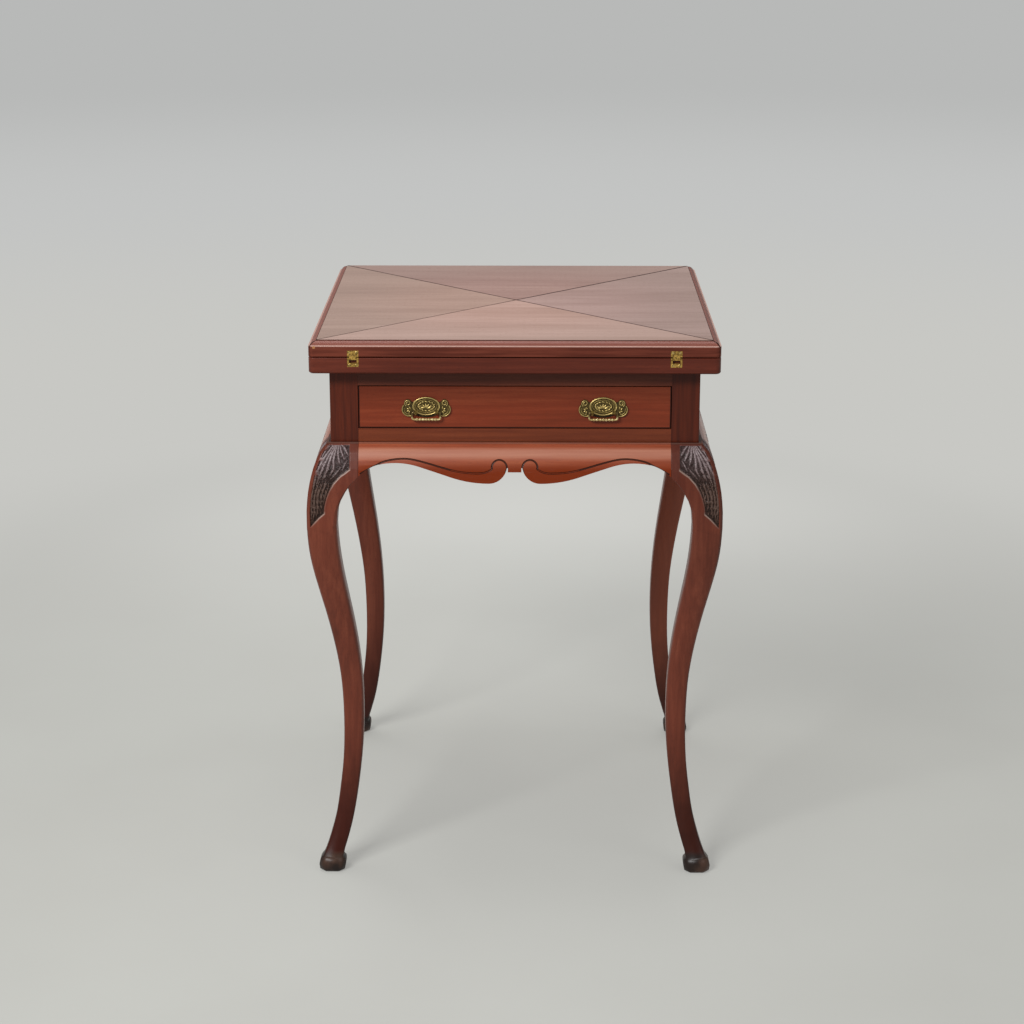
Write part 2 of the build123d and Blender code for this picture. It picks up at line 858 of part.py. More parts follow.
bed_pin = bed_over - pin_inset
leaf_pin = leaf_under + pin_inset
bed_plates = make_hinge_plates(bed_over - bed_plate_height, bed_plate_height, bed_over,
                               bed_pin, bed_over - bed_slot_drop, bed_over)
leaf_plates = make_hinge_plates(leaf_under, leaf_plate_height, leaf_under, leaf_pin,
                                leaf_under, leaf_pin + link_radius + link_gap)
links = make_links()
leaf_board = make_leaf_board()
leaf_baize = make_leaf_baize()
for side, angle in sides:
    save(turned(bed_plates, angle), f"bed_{side}_hinge_plates")
    save(turned(links, angle), f"{side}_hinge_links")
    save(turned(leaf_board, angle), f"{side}_leaf_board")
    save(turned(leaf_baize, angle), f"{side}_leaf_baize")
    save(turned(leaf_plates, angle), f"{side}_leaf_hinge_plates")
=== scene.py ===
# %% [markdown]
# # An envelope card table
# The table comes in as a frame of plain solids, one for each real piece of wood, brass or iron.
# Here every visible piece gets the shape and finish that a cabinet maker would give it: eased
# edges, carved knees, a run groove on the aprons, cast handles, screws and cloth.
# Everything is in metres, with the floor at z = 0 and the drawer front looking along -Y.

# %% Load the frame
import json
import math

import bmesh
import bpy
import numpy as np
from mathutils import Matrix, Vector

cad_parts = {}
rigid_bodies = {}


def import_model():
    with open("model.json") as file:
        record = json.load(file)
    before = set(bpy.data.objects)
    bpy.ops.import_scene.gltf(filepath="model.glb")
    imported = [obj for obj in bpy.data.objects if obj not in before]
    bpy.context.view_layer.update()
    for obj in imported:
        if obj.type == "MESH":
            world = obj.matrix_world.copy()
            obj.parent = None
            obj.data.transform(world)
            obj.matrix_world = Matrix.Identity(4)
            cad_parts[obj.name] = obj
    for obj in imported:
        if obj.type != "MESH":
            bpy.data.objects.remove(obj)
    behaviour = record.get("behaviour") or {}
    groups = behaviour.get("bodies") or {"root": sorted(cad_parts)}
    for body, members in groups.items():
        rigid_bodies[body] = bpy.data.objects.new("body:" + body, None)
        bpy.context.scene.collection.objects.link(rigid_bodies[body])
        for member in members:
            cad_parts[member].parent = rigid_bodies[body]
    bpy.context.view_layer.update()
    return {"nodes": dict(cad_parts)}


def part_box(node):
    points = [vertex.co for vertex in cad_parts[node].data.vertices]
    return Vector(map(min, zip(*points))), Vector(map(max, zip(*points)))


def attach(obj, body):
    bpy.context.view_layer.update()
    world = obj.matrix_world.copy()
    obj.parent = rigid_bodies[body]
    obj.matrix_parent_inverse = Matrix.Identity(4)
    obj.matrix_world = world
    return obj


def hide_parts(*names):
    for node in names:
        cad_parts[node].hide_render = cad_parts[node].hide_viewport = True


for leftover in list(bpy.data.objects):
    bpy.data.objects.remove(leftover)
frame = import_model()
nodes = frame["nodes"]
mm = 0.001

# %% [markdown]
# ## The camera
# The photograph looks down on the table from a little above it. Its place and lens were found by
# fitting the corners of the top, the feet and the edges of the frieze. A long lens keeps the
# legs nearly upright.

# %% Place the camera
def placed(name, data):
    """A new object in the scene that holds a mesh, curve, lamp or camera."""
    thing = bpy.data.objects.new(name, data)
    bpy.context.scene.collection.objects.link(thing)
    return thing


camera_data = bpy.data.cameras.new("camera")
camera_data.lens = 80.0
camera_data.sensor_width = 36.0
camera_data.clip_start = 0.05
camera_data.clip_end = 60.0
camera = placed("camera", camera_data)
camera.location = (0.0229, -3.1984, 1.4204)
camera.rotation_euler = (math.radians(73.1), 0.0, 0.009)
bpy.context.scene.camera = camera
print("camera at", tuple(round(x, 3) for x in camera.location))

# %% [markdown]
# ## Helpers for shaping
# Operators act on whatever is selected, so a piece is always made the only selected one first.
# A copy of a solid from the frame comes as loose triangles. It is welded, and its flat triangles
# are dissolved into whole faces, before any edge is worked.

# %% Select, edit and weld
def only(piece):
    """Makes a piece the only selected and active one."""
    bpy.ops.object.select_all(action="DESELECT")
    piece.select_set(True)
    bpy.context.view_layer.objects.active = piece


def edit_all(piece):
    """Opens a piece in edit mode with all of it selected."""
    only(piece)
    bpy.ops.object.mode_set(mode="EDIT")
    bpy.ops.mesh.select_all(action="SELECT")


def close():
    """Goes back from edit mode to object mode."""
    bpy.ops.object.mode_set(mode="OBJECT")


def weld(piece):
    """Joins the loose triangles of a copied solid into clean faces."""
    only(piece)
    bpy.ops.mesh.customdata_custom_splitnormals_clear()
    edit_all(piece)
    bpy.ops.mesh.remove_doubles(threshold=0.02 * mm)
    bpy.ops.mesh.dissolve_limited(angle_limit=math.radians(0.4))
    close()


print("helpers for editing are ready")

# %% [markdown]
# The four sides of the table are alike, and so are its four corners. So one piece is worked at
# the front, or at the front left, and three turned copies with their own meshes follow.

# %% Copies
SIDES = ("front", "right", "back", "left")
CORNERS = ("front_left", "front_right", "back_right", "back_left")


def copy_of(node, name):
    """A welded copy of a solid from the frame, which may be shaped."""
    piece = placed(name, nodes[node].data.copy())
    piece.data.materials.clear()
    weld(piece)
    return piece


def all_round(first, name, spots=SIDES):
    """The first piece and its three turned copies, by side or corner. {} in the name is that."""
    pieces = {spots[0]: first}
    for quarters in (1, 2, 3):
        twin = placed(name.format(spots[quarters]), first.data.copy())
        twin.data.transform(Matrix.Rotation(math.radians(90 * quarters), 4, "Z"))
        pieces[spots[quarters]] = twin
    return pieces


def primitive(add, name, **settings):
    """A new primitive at its size and place, with nothing else selected."""
    bpy.ops.object.select_all(action="DESELECT")
    add(**settings)
    piece = bpy.context.object
    piece.name = name
    bpy.ops.object.transform_apply(location=True, rotation=True, scale=True)
    return piece


print("helpers for copies are ready")

# %% [markdown]
# No real edge is perfectly sharp: a maker takes each arris off with a stroke of the plane, and
# polish and wear soften it further. That narrow round is what catches the light, so each board
# gets a small bevel. A weighted normal modifier then lets the broad faces decide the shading, so
# they stay flat and only the rounds look round.

# %% Ease edges and shade
SHARP_EDGE = math.radians(32)


def modify(piece, kind, **settings):
    """Gives a piece a modifier and applies it."""
    only(piece)
    modifier = piece.modifiers.new(kind.lower(), kind)
    for key, value in settings.items():
        setattr(modifier, key, value)
    bpy.ops.object.modifier_apply(modifier=modifier.name)


def ease(piece, width, segments=2):
    """Rounds every sharp edge, then shades the piece smooth."""
    modify(piece, "BEVEL", width=width, segments=segments, limit_method="ANGLE",
           angle_limit=SHARP_EDGE)
    smooth(piece)


def smooth(piece, angle=40, broad=True):
    """Smooth shading that stays sharp at real corners, and flat on broad faces if wanted."""
    only(piece)
    bpy.ops.object.shade_smooth_by_angle(angle=math.radians(angle))
    if broad:
        modify(piece, "WEIGHTED_NORMAL", keep_sharp=True)


print("helpers for edges are ready")

# %% Choose faces, cut them and finish a piece
def select_faces(piece, wanted=None):
    """Opens a piece in edit mode with the faces selected that pass wanted(centre, normal)."""
    only(piece)
    bpy.ops.object.mode_set(mode="EDIT")
    bpy.ops.mesh.select_mode(type="FACE")
    bpy.ops.mesh.select_all(action="DESELECT")
    shape = bmesh.from_edit_mesh(piece.data)
    for face in shape.faces:
        if wanted is None or wanted(face.calc_center_median(), face.normal):
            face.select_set(True)
    bmesh.update_edit_mesh(piece.data)


def slice_faces(piece, wanted, point, normal, **settings):
    """Cuts the wanted faces by a plane."""
    select_faces(piece, wanted)
    bpy.ops.mesh.bisect(plane_co=point, plane_no=normal, **settings)
    close()


def finished(piece, body, slot, material, *stands_for):
    """Gives a piece its finish, its body and the solids it stands for."""
    piece.data.materials.clear()
    piece.data.materials.append(material)
    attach(piece, body)
    if stands_for:
        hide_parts(*stands_for)
    print(piece.name, "-", len(piece.data.polygons), "faces, rides on", body)


print("helpers for faces and finish are ready")

# %% [markdown]
# ## Sums in shaders
# A finish is a sum of patterns. One small class lets such sums be written as plain Python: a
# sum on a value adds Math nodes, and node() adds any other node with its settings and sockets.

# %% A value in a material
class Tone:
    """One value in a material's tree, which Python's signs work on."""

    def __init__(self, tree, socket=None):
        self.tree = tree
        self.socket = socket

    def node(self, kind, settings=None, sockets=None, output=0):
        made = self.tree.nodes.new("ShaderNode" + kind)
        for key, value in (settings or {}).items():
            if key == "stops":
                ramp = made.color_ramp.elements
                while len(ramp) < len(value):
                    ramp.new(1.0)
                for stop, (at, tone) in zip(ramp, value):
                    stop.position = at
                    stop.color = tone
            else:
                setattr(made, key, value)
        for key, value in (sockets or {}).items():
            if isinstance(value, Tone):
                self.tree.links.new(value.socket, made.inputs[key])
            else:
                made.inputs[key].default_value = value
        return Tone(self.tree, made.outputs[output])

    def math(self, operation, first, second=0.0):
        return self.node("Math", {"operation": operation}, {0: first, 1: second})

    def __add__(self, other):
        return self.math("ADD", self, other)

    def __sub__(self, other):
        return self.math("SUBTRACT", self, other)

    def __rsub__(self, other):
        return self.math("SUBTRACT", other, self)

    def __mul__(self, other):
        return self.math("MULTIPLY", self, other)

    __radd__ = __add__
    __rmul__ = __mul__

    def larger(self, other):
        return self.math("MAXIMUM", self, other)

    def smaller(self, other):
        return self.math("MINIMUM", self, other)

    def ramp(self, low, high):
        """0 below low, 1 above high, and smooth between them."""
        return self.node("MapRange", {"interpolation_type": "SMOOTHSTEP"},
                         {"Value": self, "From Min": low, "From Max": high})

    def ramp_mm(self, low, high):
        """A ramp on a length, between two lengths in millimetres."""
        return self.ramp(low * mm, high * mm)


print("sums in shaders are ready")

# %% [markdown]
# Colours are written as on screen, by their codes. A blend and a run of three tones take such
# codes, so a finish reads like a recipe.

# %% Colours
def colour(code):
    """A colour written as on screen, in the linear values that shaders use."""
    parts = [int(code[i:i + 2], 16) / 255 for i in (0, 2, 4)]
    return (*[p / 12.92 if p <= 0.04045 else ((p + 0.055) / 1.055) ** 2.4 for p in parts], 1.0)


def blend_of(share, first, second):
    """Two colours mixed by a share. Each is a tone or a code."""
    first, second = (colour(c) if isinstance(c, str) else c for c in (first, second))
    return share.node("Mix", {"data_type": "RGBA"}, {0: share, 6: first, 7: second}, 2)


def layered(wood, *layers):
    """Lays colours over the wood one after another, each by its share."""
    for share, tone in layers:
        wood = blend_of(share, wood, tone)
    return wood


def tones_by(value, *stops):
    """Colours that follow a value, with stops that are a value and a code."""
    return value.node("ValToRGB", {"stops": [(at, colour(code)) for at, code in stops]},
                      {0: value})


print("a mid grey is", round(colour("808080")[0], 3), "in linear light")

# %% [markdown]
# Every pattern starts at a place on the piece, in the table's own coordinates. From it come the
# place's x, y and z, a cloudy noise, and how far the place is from a point.

# %% Places and patterns
def new_finish(name, rough=0.4):
    """A fresh material: the place on the piece, its shader and itself."""
    material = bpy.data.materials.new(name)
    material.use_nodes = True
    shader = material.node_tree.nodes["Principled BSDF"]
    shader.inputs["Roughness"].default_value = rough
    return Tone(material.node_tree).node("TexCoord", output="Object"), shader, material


def feed(shader, socket, value):
    value.tree.links.new(value.socket, shader.inputs[socket])


def relief(shader, strength, distance, height):
    """Lets a height, with a distance in millimetres, tilt the light on the surface."""
    feed(shader, "Normal", height.node("Bump", None, {
        "Strength": strength, "Distance": distance * mm, "Height": height}))


def axes(place, mirrored=False):
    """x, y and z of a place. Mirrored, they are the same on the other side of the middle."""
    if mirrored:
        place = place.node("VectorMath", {"operation": "ABSOLUTE"}, {0: place})
    parted = place.node("SeparateXYZ", None, {0: place})
    return [Tone(place.tree, output) for output in parted.socket.node.outputs]


def sides_of(place):
    """How far right and how far back a place is: 0 on the left and in front, 1 on the other
    side of the middle."""
    return [axis.ramp_mm(-60, 60) for axis in axes(place)[:2]]


def noise(place, scale, detail, **more):
    return place.node("TexNoise", None,
                      {"Vector": place, "Scale": scale, "Detail": detail, **more})


def distance_to(place, point):
    """How far a place is from a point, in metres."""
    return place.node("VectorMath", {"operation": "DISTANCE"}, {0: place, 1: point}, 1)


def mark(place, name):
    """A value that the shaping has left on the mesh."""
    return place.node("Attribute", {"attribute_name": name}, output=2)


print("patterns are ready")

# %% [markdown]
# ## Polished mahogany
# Mahogany shows three things at once: broad bands where the growth changes colour, fine streaks
# along the grain, and short dark pores filled with polish. Each is a noise pattern stretched
# along the grain, which runs along X, Y or Z of the piece. The polish is a thin clear coat.
# Each part of the table takes its own three tones, and for some parts these hold painted light
# and shade.

# %% Mahogany
GRAIN_TURN = {"X": (0.0, 0.0, 0.0), "Y": (0.0, 0.0, math.pi / 2), "Z": (0.0, math.pi / 2, 0.0)}


def grain(place, along, shift):
    """The wood's patterns: broad figure, streaks, and pores as a mask."""
    board = place.node("Mapping", None, {"Vector": place, "Rotation": GRAIN_TURN[along],
                                         "Location": (shift, 0.7 * shift, 0.3 * shift)})

    def stretched(length, width, detail, **more):
        long = place.node("Mapping", None, {"Vector": board, "Scale": (length, width, width)})
        return noise(long, 1.0, detail, **more)

    figure = stretched(1.6, 16.0, 4.0, Roughness=0.55, Distortion=0.6)
    streaks = stretched(7.0, 170.0, 5.0, Roughness=0.65)
    pores = stretched(130.0, 1500.0, 2.0)
    return figure, streaks, 1 - pores.ramp(0.34, 0.42)


def mahogany(name, tones, along="X", shift=0.0, rough=0.34, shine=0.16, extra=None):
    """Polished mahogany in a deep, a body and a light tone. extra() may change the colour and
    the polish by place."""
    deep, body, light = tones.split()
    place, shader, material = new_finish(name)
    figure, streaks, pores = grain(place, along, shift)
    wood = tones_by(figure * 0.55 + streaks * 0.45, (0.36, deep), (0.5, body), (0.64, light))
    wood = blend_of(pores * 0.55, wood, deep)
    shader.inputs["Specular IOR Level"].default_value = shine
    shader.inputs["Coat Weight"].default_value = 0.08
    shader.inputs["Coat Roughness"].default_value = rough
    if extra:
        wood, polish = extra(place, wood, streaks)
        feed(shader, "Coat Weight", polish)
    feed(shader, "Base Color", wood)
    feed(shader, "Roughness", streaks * 0.14 + pores * 0.2 + (rough - 0.07))
    relief(shader, 0.16, 0.15, streaks * 0.35 - pores)
    return material


print("mahogany is ready")

# %% [markdown]
# The mahogany of each part, named after where it is. The leaves' tops take the palest tones,
# which hold a painted sheen, and the front leaf is lightest and the back leaf darkest as painted
# light and shade. The leaf edges carry one worn chip at the front left corner, where the colour
# goes pale.

# %% Mahogany for the top
def moulded_edge(place, wood, streaks):
    """The moulded edge is darker than the flat of the top, whose pale tones hold a painted sheen,
    and the flat goes paler and greyer away from the middle. On the moulding, the upright face is
    darker and the lip paler, as painted shade and a painted highlight, and the small groove at
    its top is painted dark as shade. Where two leaves meet, their mitred edges hold a dark line
    of old polish and painted shadow of the gap, wider at the back and the right."""
    x, y, z = axes(place, mirrored=True)
    outer = x.larger(y)
    greyer_outwards = distance_to(place, (0.0, 0.0, 765.0 * mm)).ramp_mm(90, 290)
    edge = outer.ramp_mm(261.4, 262.0)
    under = 1 - z.ramp_mm(763.9, 764.9)
    lip = z.ramp_mm(757.7, 758.2) * (1 - z.ramp_mm(759.0, 759.6))
    face = 1 - z.ramp_mm(757.4, 757.9)
    quirk_shade = edge * (1 - outer.ramp_mm(262.6, 263.2))
    to_right, to_back = sides_of(place)
    open_by = to_right * (0.5 * mm) + to_back * (0.7 * mm)
    mitre_polish_and_shade = 1 - (place.math("ABSOLUTE", x - y) - open_by).ramp_mm(0.85, 1.85)
    # Painted shade: the small groove at the top's edge, and the mitre line, which is partly old
    # polish and partly painted shadow of the gap.
    dark = quirk_shade.larger(mitre_polish_and_shade * (1 - face))
    # The moulding's mid tone and the darker upright face are partly painted light from above, and
    # the pale lip is a painted highlight.
    wood = layered(
        wood,
        (greyer_outwards * 0.3, "7c7068"),
        (edge.larger(under), blend_of(streaks, "65382f", "7e4d42")),
        (lip * 0.7, "b09085"),
        (face, blend_of(streaks.ramp(0.35, 0.65), "4f241a", "683326")),
        (dark * 0.9, "2c1611"))
    return wood, (1 - dark) * (0.2 - face * 0.1)


def chipped_edge(place, wood, streaks):
    """The front leaf's edge has lost a chip of its polish at the left corner."""
    wood, polish = moulded_edge(place, wood, streaks)
    spot = distance_to(place, (-264.5 * mm, -272.5 * mm, 757.0 * mm))
    chip = 1 - (spot + noise(place, 700.0, 2.0) * (2.4 * mm)).ramp_mm(2.6, 3.8)
    return blend_of(chip, wood, "9a6d47"), polish


# Painted sheen in the leaves' pale tones, and painted light and shade from the front leaf,
# lightest, to the back leaf, darkest.
leaf_woods_painted_light = {
    side: mahogany(f"mahogany_{side}_leaf", tones, "X", shift, 0.36, 0.05, edge)
    for side, tones, shift, edge in (
        ("front", "937468 a28378 af9085", 0.0, chipped_edge),
        ("right", "82675f 91766f 9d827b", 3.1, moulded_edge),
        ("back", "7e6058 8d6f67 997c73", 5.2, moulded_edge),
        ("left", "84695e 94786c a08478", 7.7, moulded_edge))
}
bed_wood = mahogany("mahogany_bed", "431a11 532216 622c1e", "X", 9.0)
print("top woods:", len(leaf_woods_painted_light) + 1)

# %% [markdown]
# The rail over the drawer takes the darkest tones, as painted shade from the top over it. The
# aprons take the palest tones. The ledge that runs over aprons and knees takes a grey-brown, a
# painted highlight on its top, and the black line where that ledge meets the frieze is a
# painted shadow.

# %% Mahogany for the frame and drawer
LEDGE_STARTS = (620.4, 621.0)
LEDGE_MEETS_FRIEZE = (249.6, 250.4)
# A grey-brown painted on the ledge as a highlight on its top, and a black used for dark joints
# and for painted shade in seams and grooves.
LEDGE_PAINTED_HIGHLIGHT = "5e4840"
BLACK_POLISH_AND_SHADE = "2b130c"


def apron_tones(place, wood, streaks):
    """Aprons: a painted highlight along the upper swell and painted shade below it, dark lines at
    the joints, a painted shadow where the ledge meets the frieze, and painted shade in the
    groove.
    """
    x, y, z = axes(place, mirrored=True)
    ledge = z.ramp_mm(*LEDGE_STARTS)
    seam = ledge * (1 - x.larger(y).ramp_mm(*LEDGE_MEETS_FRIEZE))
    joint = x.smaller(y).ramp_mm(208.9, 209.4).larger(seam)
    # Painted highlight on the upper swell, and painted shade lower down, where the apron turns
    # away from the light.
    painted_highlight = z.ramp_mm(599, 609) * (1 - z.ramp_mm(613, 618))
    low = 1 - z.ramp_mm(588, 604)
    # The joints at the apron's ends are dark lines, the seam under the frieze is a painted
    # shadow, and the groove is painted shade.
    dark = (joint * 0.7).larger(mark(place, "groove") * 0.9)
    wood = layered(
        wood,
        (painted_highlight, blend_of(streaks, "915443", "b27b64")),
        (low * 0.92, "692202"),
        (ledge * 0.4, LEDGE_PAINTED_HIGHLIGHT),
        (dark, BLACK_POLISH_AND_SHADE))
    return wood, 0.32 - dark.larger(low) * 0.3


def drawer_tones(place, wood, streaks):
    """The drawer front is darker upwards, a painted shadow of the top over it, and dark along its
    ends and foot, a painted shadow of the gap round it."""
    low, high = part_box("drawer_front")
    x, _, z = axes(place, mirrored=True)
    shade = z.ramp_mm(660, 696)
    at_ends = x.ramp(high.x - 1.4 * mm, high.x - 0.9 * mm)
    at_foot = 1 - z.ramp(low.z + 0.9 * mm, low.z + 1.4 * mm)
    # Painted shadow from the top above, and painted shadow of the gap along the ends and the
    # foot.
    wood = layered(wood, (shade * 0.42, "2a0d06"), (at_ends.larger(at_foot) * 0.85, "1f0d08"))
    return wood, 0.08 - shade * 0.05


FRIEZE_TONES = "5a2719 6a311f 793f29"
APRON_TONES = "74351d 8a422a 9a5235"
drawer_wood = mahogany("mahogany_drawer", "612714 722e19 833c23", "X", 1.3, extra=drawer_tones)
rail_wood = mahogany("mahogany_lower_rail", "592716 6a311b 793d25", "X", 2.2)
# The upper rail's darker tones are painted shade from the top over it.
shaded_top_rail_wood = mahogany("mahogany_upper_rail_painted_shade", "441e13 522619 603121", "X", 4.4)
frieze_wood = mahogany("mahogany_frieze_x", FRIEZE_TONES, "X", 6.1)
side_frieze_wood = mahogany("mahogany_frieze_y", FRIEZE_TONES, "Y", 6.4)
apron_wood = mahogany("mahogany_apron_x", APRON_TONES, "X", 8.0, 0.3, extra=apron_tones)
side_apron_wood = mahogany("mahogany_apron_y", APRON_TONES, "Y", 8.3, 0.3, extra=apron_tones)
print("frame woods: 7")

# %% [markdown]
# The legs have three finishes in one. The post over the knee keeps the dark frieze colour, the
# shin is warmer, and towards the foot the wood goes nearly black, a little more so on the
# right-hand legs as painted shade. The back left leg and the upper front right leg are painted
# darker and the back right leg paler, as painted shade and painted light. In the carving, the cut
# ground is painted dark as shade, and the tops of the leaves are grey-brown as a painted
# highlight, greyer higher up. Three values that the carving leaves on the mesh say where it is,
# how deep, and where its rim carries a painted highlight.

# %% Mahogany for the legs
def carved_tones(place, wood, height):
    """The carving's colours, with painted shade in the cut ground and a painted highlight on the
    tops of the leaves that is greyer towards the carving's top, and the share of the place it
    takes.
    """
    area = mark(place, "carved")
    depth = mark(place, "carving_depth") + (noise(place, 480.0, 2.0) - 0.5) * 1.1
    # Painted shade deepens with the cut, and the leaves' tops carry a painted highlight, lighter
    # higher up.
    upper = tones_by(depth, (0.04, "867879"), (0.4, "524242"), (0.85, "241614"))
    lower = tones_by(depth, (0.04, "5c4a42"), (0.4, "3a2821"), (0.85, "1c110d"))
    ground = blend_of(height.ramp_mm(570, 612), lower, upper)
    # The pale line along the panel's rim is a painted highlight.
    return layered(wood, (area, ground), (mark(place, "carved_rim") * 0.6, "a8968b")), area


def leg_tones(place, wood, streaks):
    """Post, knee, shin and foot, each with its own colour."""
    x, y, z = axes(place, mirrored=True)
    cloud = noise(place, 28.0, 3.0)
    ear = (1 - x.smaller(y).ramp_mm(219.5, 221.0)) * z.ramp_mm(560, 600)
    outer = x.larger(y)
    beyond_post = outer.ramp_mm(247.6, 248.2)
    ledge = beyond_post * z.ramp_mm(*LEDGE_STARTS)
    seam = ledge * (1 - outer.ramp_mm(*LEDGE_MEETS_FRIEZE))
    post = z.ramp_mm(620.2, 621.0) * (1 - beyond_post)
    to_right, to_back = sides_of(place)
    # Painted shade on the back left leg and the upper front right leg.
    painted_shade_by_leg = (to_back * (1 - to_right) * 0.32
              + (1 - to_back) * to_right * z.ramp_mm(400, 470) * 0.25)
    low = 1 - (z + cloud * (90 * mm)).ramp_mm(90, 280)
    foot = 1 - (z + cloud * (6 * mm)).ramp_mm(25, 34)
    # Painted light and shade in these layers: the ledge's grey-brown highlight, the black seam's
    # shadow, the darker back left and upper front right legs, the paler back right leg, and the
    # darker foot end of the right-hand legs.
    wood = layered(
        wood,
        (ear * 0.3, "5d3a34"),
        (z.ramp_mm(515, 570) * 0.35, "4a1d12"),
        (ledge * 0.5, LEDGE_PAINTED_HIGHLIGHT),
        (seam, BLACK_POLISH_AND_SHADE),
        (post, blend_of(streaks.ramp(0.3, 0.7), "3f160a", "58210f")),
        (painted_shade_by_leg, "2b0d05"),
        (to_back * to_right * 0.38, "92503a"),
        (low * 0.92, blend_of(to_right, "330d04", "2b0b03")),
        (foot, blend_of(cloud.ramp(0.42, 0.64), "231916", "49342a")))
    wood, area = carved_tones(place, wood, z + cloud * (16 * mm))
    return wood, 0.12 - area * 0.1


leg_wood = mahogany("mahogany_leg", "54271b 663021 773d2b", "Z", 0.4, extra=leg_tones)
print("leg wood is ready")

# %% [markdown]
# ## Plain timber, cloth and metal
# Behind the show wood the maker used plain softwood. The card surfaces are lined with woollen
# baize: a felted cloth, so its colour is a fine mottle with a soft sheen and no clear weave.
# The brass is old: bright where fingers rub it, and dark in its hollows.

# %% Softwood and baize
def softwood(name, along):
    """Plain unpolished timber."""
    place, shader, material = new_finish(name, 0.7)
    figure, streaks, pores = grain(place, along, 2.0)
    wood = tones_by(figure * 0.6 + streaks * 0.4,
                    (0.34, "7a5433"), (0.5, "a07a4e"), (0.66, "b8946a"))
    feed(shader, "Base Color", blend_of(pores * 0.25, wood, "5d3f26"))
    relief(shader, 0.25, 0.2, streaks - pores)
    return material


softwood_x = softwood("softwood_x", "X")
softwood_y = softwood("softwood_y", "Y")
place, shader, baize_cloth = new_finish("green_baize", 0.95)
nap = noise(place, 1400.0, 3.0)
worn = noise(place, 9.0, 3.0)
threads = place.node("TexWave", {"wave_type": "BANDS", "bands_direction": "DIAGONAL"},
                     {"Vector": place, "Scale": 380.0, "Distortion": 3.0, "Detail": 2.0}, 1)
mottle = blend_of(nap.ramp(0.3, 0.7), "1b452c", "346043")
feed(shader, "Base Color", blend_of(worn.ramp(0.45, 0.75) * 0.25, mottle, "4f7455"))
relief(shader, 0.5, 0.2, nap + threads * 0.3)
shader.inputs["Sheen Weight"].default_value = 0.15
print("softwood and baize are ready")

# %% Brass and iron
def old_brass(name, hollow, bright):
    """Brass whose colour goes from dark to bright between two depths along Y."""
    place, shader, material = new_finish(name)
    cloud = noise(place, 260.0, 4.0)
    proud = (axes(place)[1] + (cloud - 0.5) * (1.6 * mm)).ramp(hollow, bright)
    feed(shader, "Base Color",
         tones_by(proud, (0.0, "241b0c"), (0.45, "7b6735"), (1.0, "c4ae70")))
    feed(shader, "Metallic", proud * 0.3 + 0.65)
    feed(shader, "Roughness", 0.55 - proud * 0.22 + cloud * 0.08)
    relief(shader, 0.2, 0.1, cloud)
    return material


def plain_metal(name, dark, light, metallic, rough, extra=None):
    """A metal that varies only by cloudy tarnish. extra() may change its colour by place."""
    place, shader, material = new_finish(name)
    cloud = noise(place, 420.0, 4.0)
    scuffs = noise(place, 60.0, 5.0)
    metal = blend_of(cloud.ramp(0.35, 0.65), dark, light)
    feed(shader, "Base Color", extra(place, metal) if extra else metal)
    feed(shader, "Roughness", scuffs * 0.2 + (rough - 0.1))
    relief(shader, 0.2, 0.1, scuffs + cloud)
    shader.inputs["Metallic"].default_value = metallic
    return material


def dark_arms(place, metal):
    """A bail's arms are dark near the studs, with patina where no finger rubs them and painted
    shade.
    """
    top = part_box("left_handle_bail")[1].z
    # Patina and painted shade near the studs.
    patina_and_shade = axes(place)[2].ramp(top - 9.5 * mm, top - 5.5 * mm)
    return blend_of(patina_and_shade * 0.9, metal, "493714")


drawer_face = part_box("drawer_front")[0].y
cast_brass = old_brass("cast_brass", drawer_face - 0.4 * mm, drawer_face - 3.6 * mm)
bail_brass = plain_metal("rubbed_brass", "a58c54", "d2c08c", 0.6, 0.3, dark_arms)
dull_brass = plain_metal("dull_brass", "4a3816", "7f6a32", 0.7, 0.45)
hinge_brass = plain_metal("hinge_brass", "705524", "c09a4c", 0.65, 0.42)
screw_brass = plain_metal("screw_brass", "8c7338", "cbb273", 0.8, 0.34)
dark_iron = plain_metal("oiled_iron", "1f1c1a", "39332e", 0.8, 0.5)
print("metals: 6")

# %% [markdown]
# ## The leaves
# Four triangular leaves close over the bed like the flaps of an envelope. Each has a moulded
# outer edge: a small quirk, painted dark as shade, a quarter round and a flat lip, painted pale
# as a highlight. One leaf is worked and three turned copies follow, because the four are the
# same. Only the edges need easing, as the moulding already comes with the solid.

# %% Leaves
front_leaf = copy_of("front_leaf_board", "front_leaf")
ease(front_leaf, 0.35 * mm)
for side, leaf in all_round(front_leaf, "{}_leaf").items():
    finished(leaf, f"{side}_leaf", "mahogany", leaf_woods_painted_light[side], f"{side}_leaf_board")

# %% [markdown]
# ## The bed, the rails and the drawer front
# These are straight boards. Each is a welded copy of its solid with its edges eased, the drawer
# front a little more than the rails, because it is handled.

# %% Straight boards
boards = (
    ("bed_board", "bed_top", "bed", bed_wood, 0.5),
    ("front_top_rail", "upper_rail", "frame", shaded_top_rail_wood, 0.3),
    ("front_bottom_rail", "lower_rail", "frame", rail_wood, 0.3),
    ("back_frieze_rail", "back_frieze", "frame", frieze_wood, 0.3),
    ("left_frieze_rail", "left_frieze", "frame", side_frieze_wood, 0.3),
    ("right_frieze_rail", "right_frieze", "frame", side_frieze_wood, 0.3),
    ("drawer_front", "drawer_face", "drawer", drawer_wood, 0.6),
)
for node, name, body, wood, width in boards:
    board = copy_of(node, name)
    ease(board, width * mm)
    finished(board, body, "mahogany", wood, node)

# %% [markdown]
# The frame's lower part swells out under the frieze and ends in a small ledge. On the real table
# the ledge's outer edge is well rounded, and the feet's collars drop towards the back. Both are
# worked by moving the points of the copied solids.

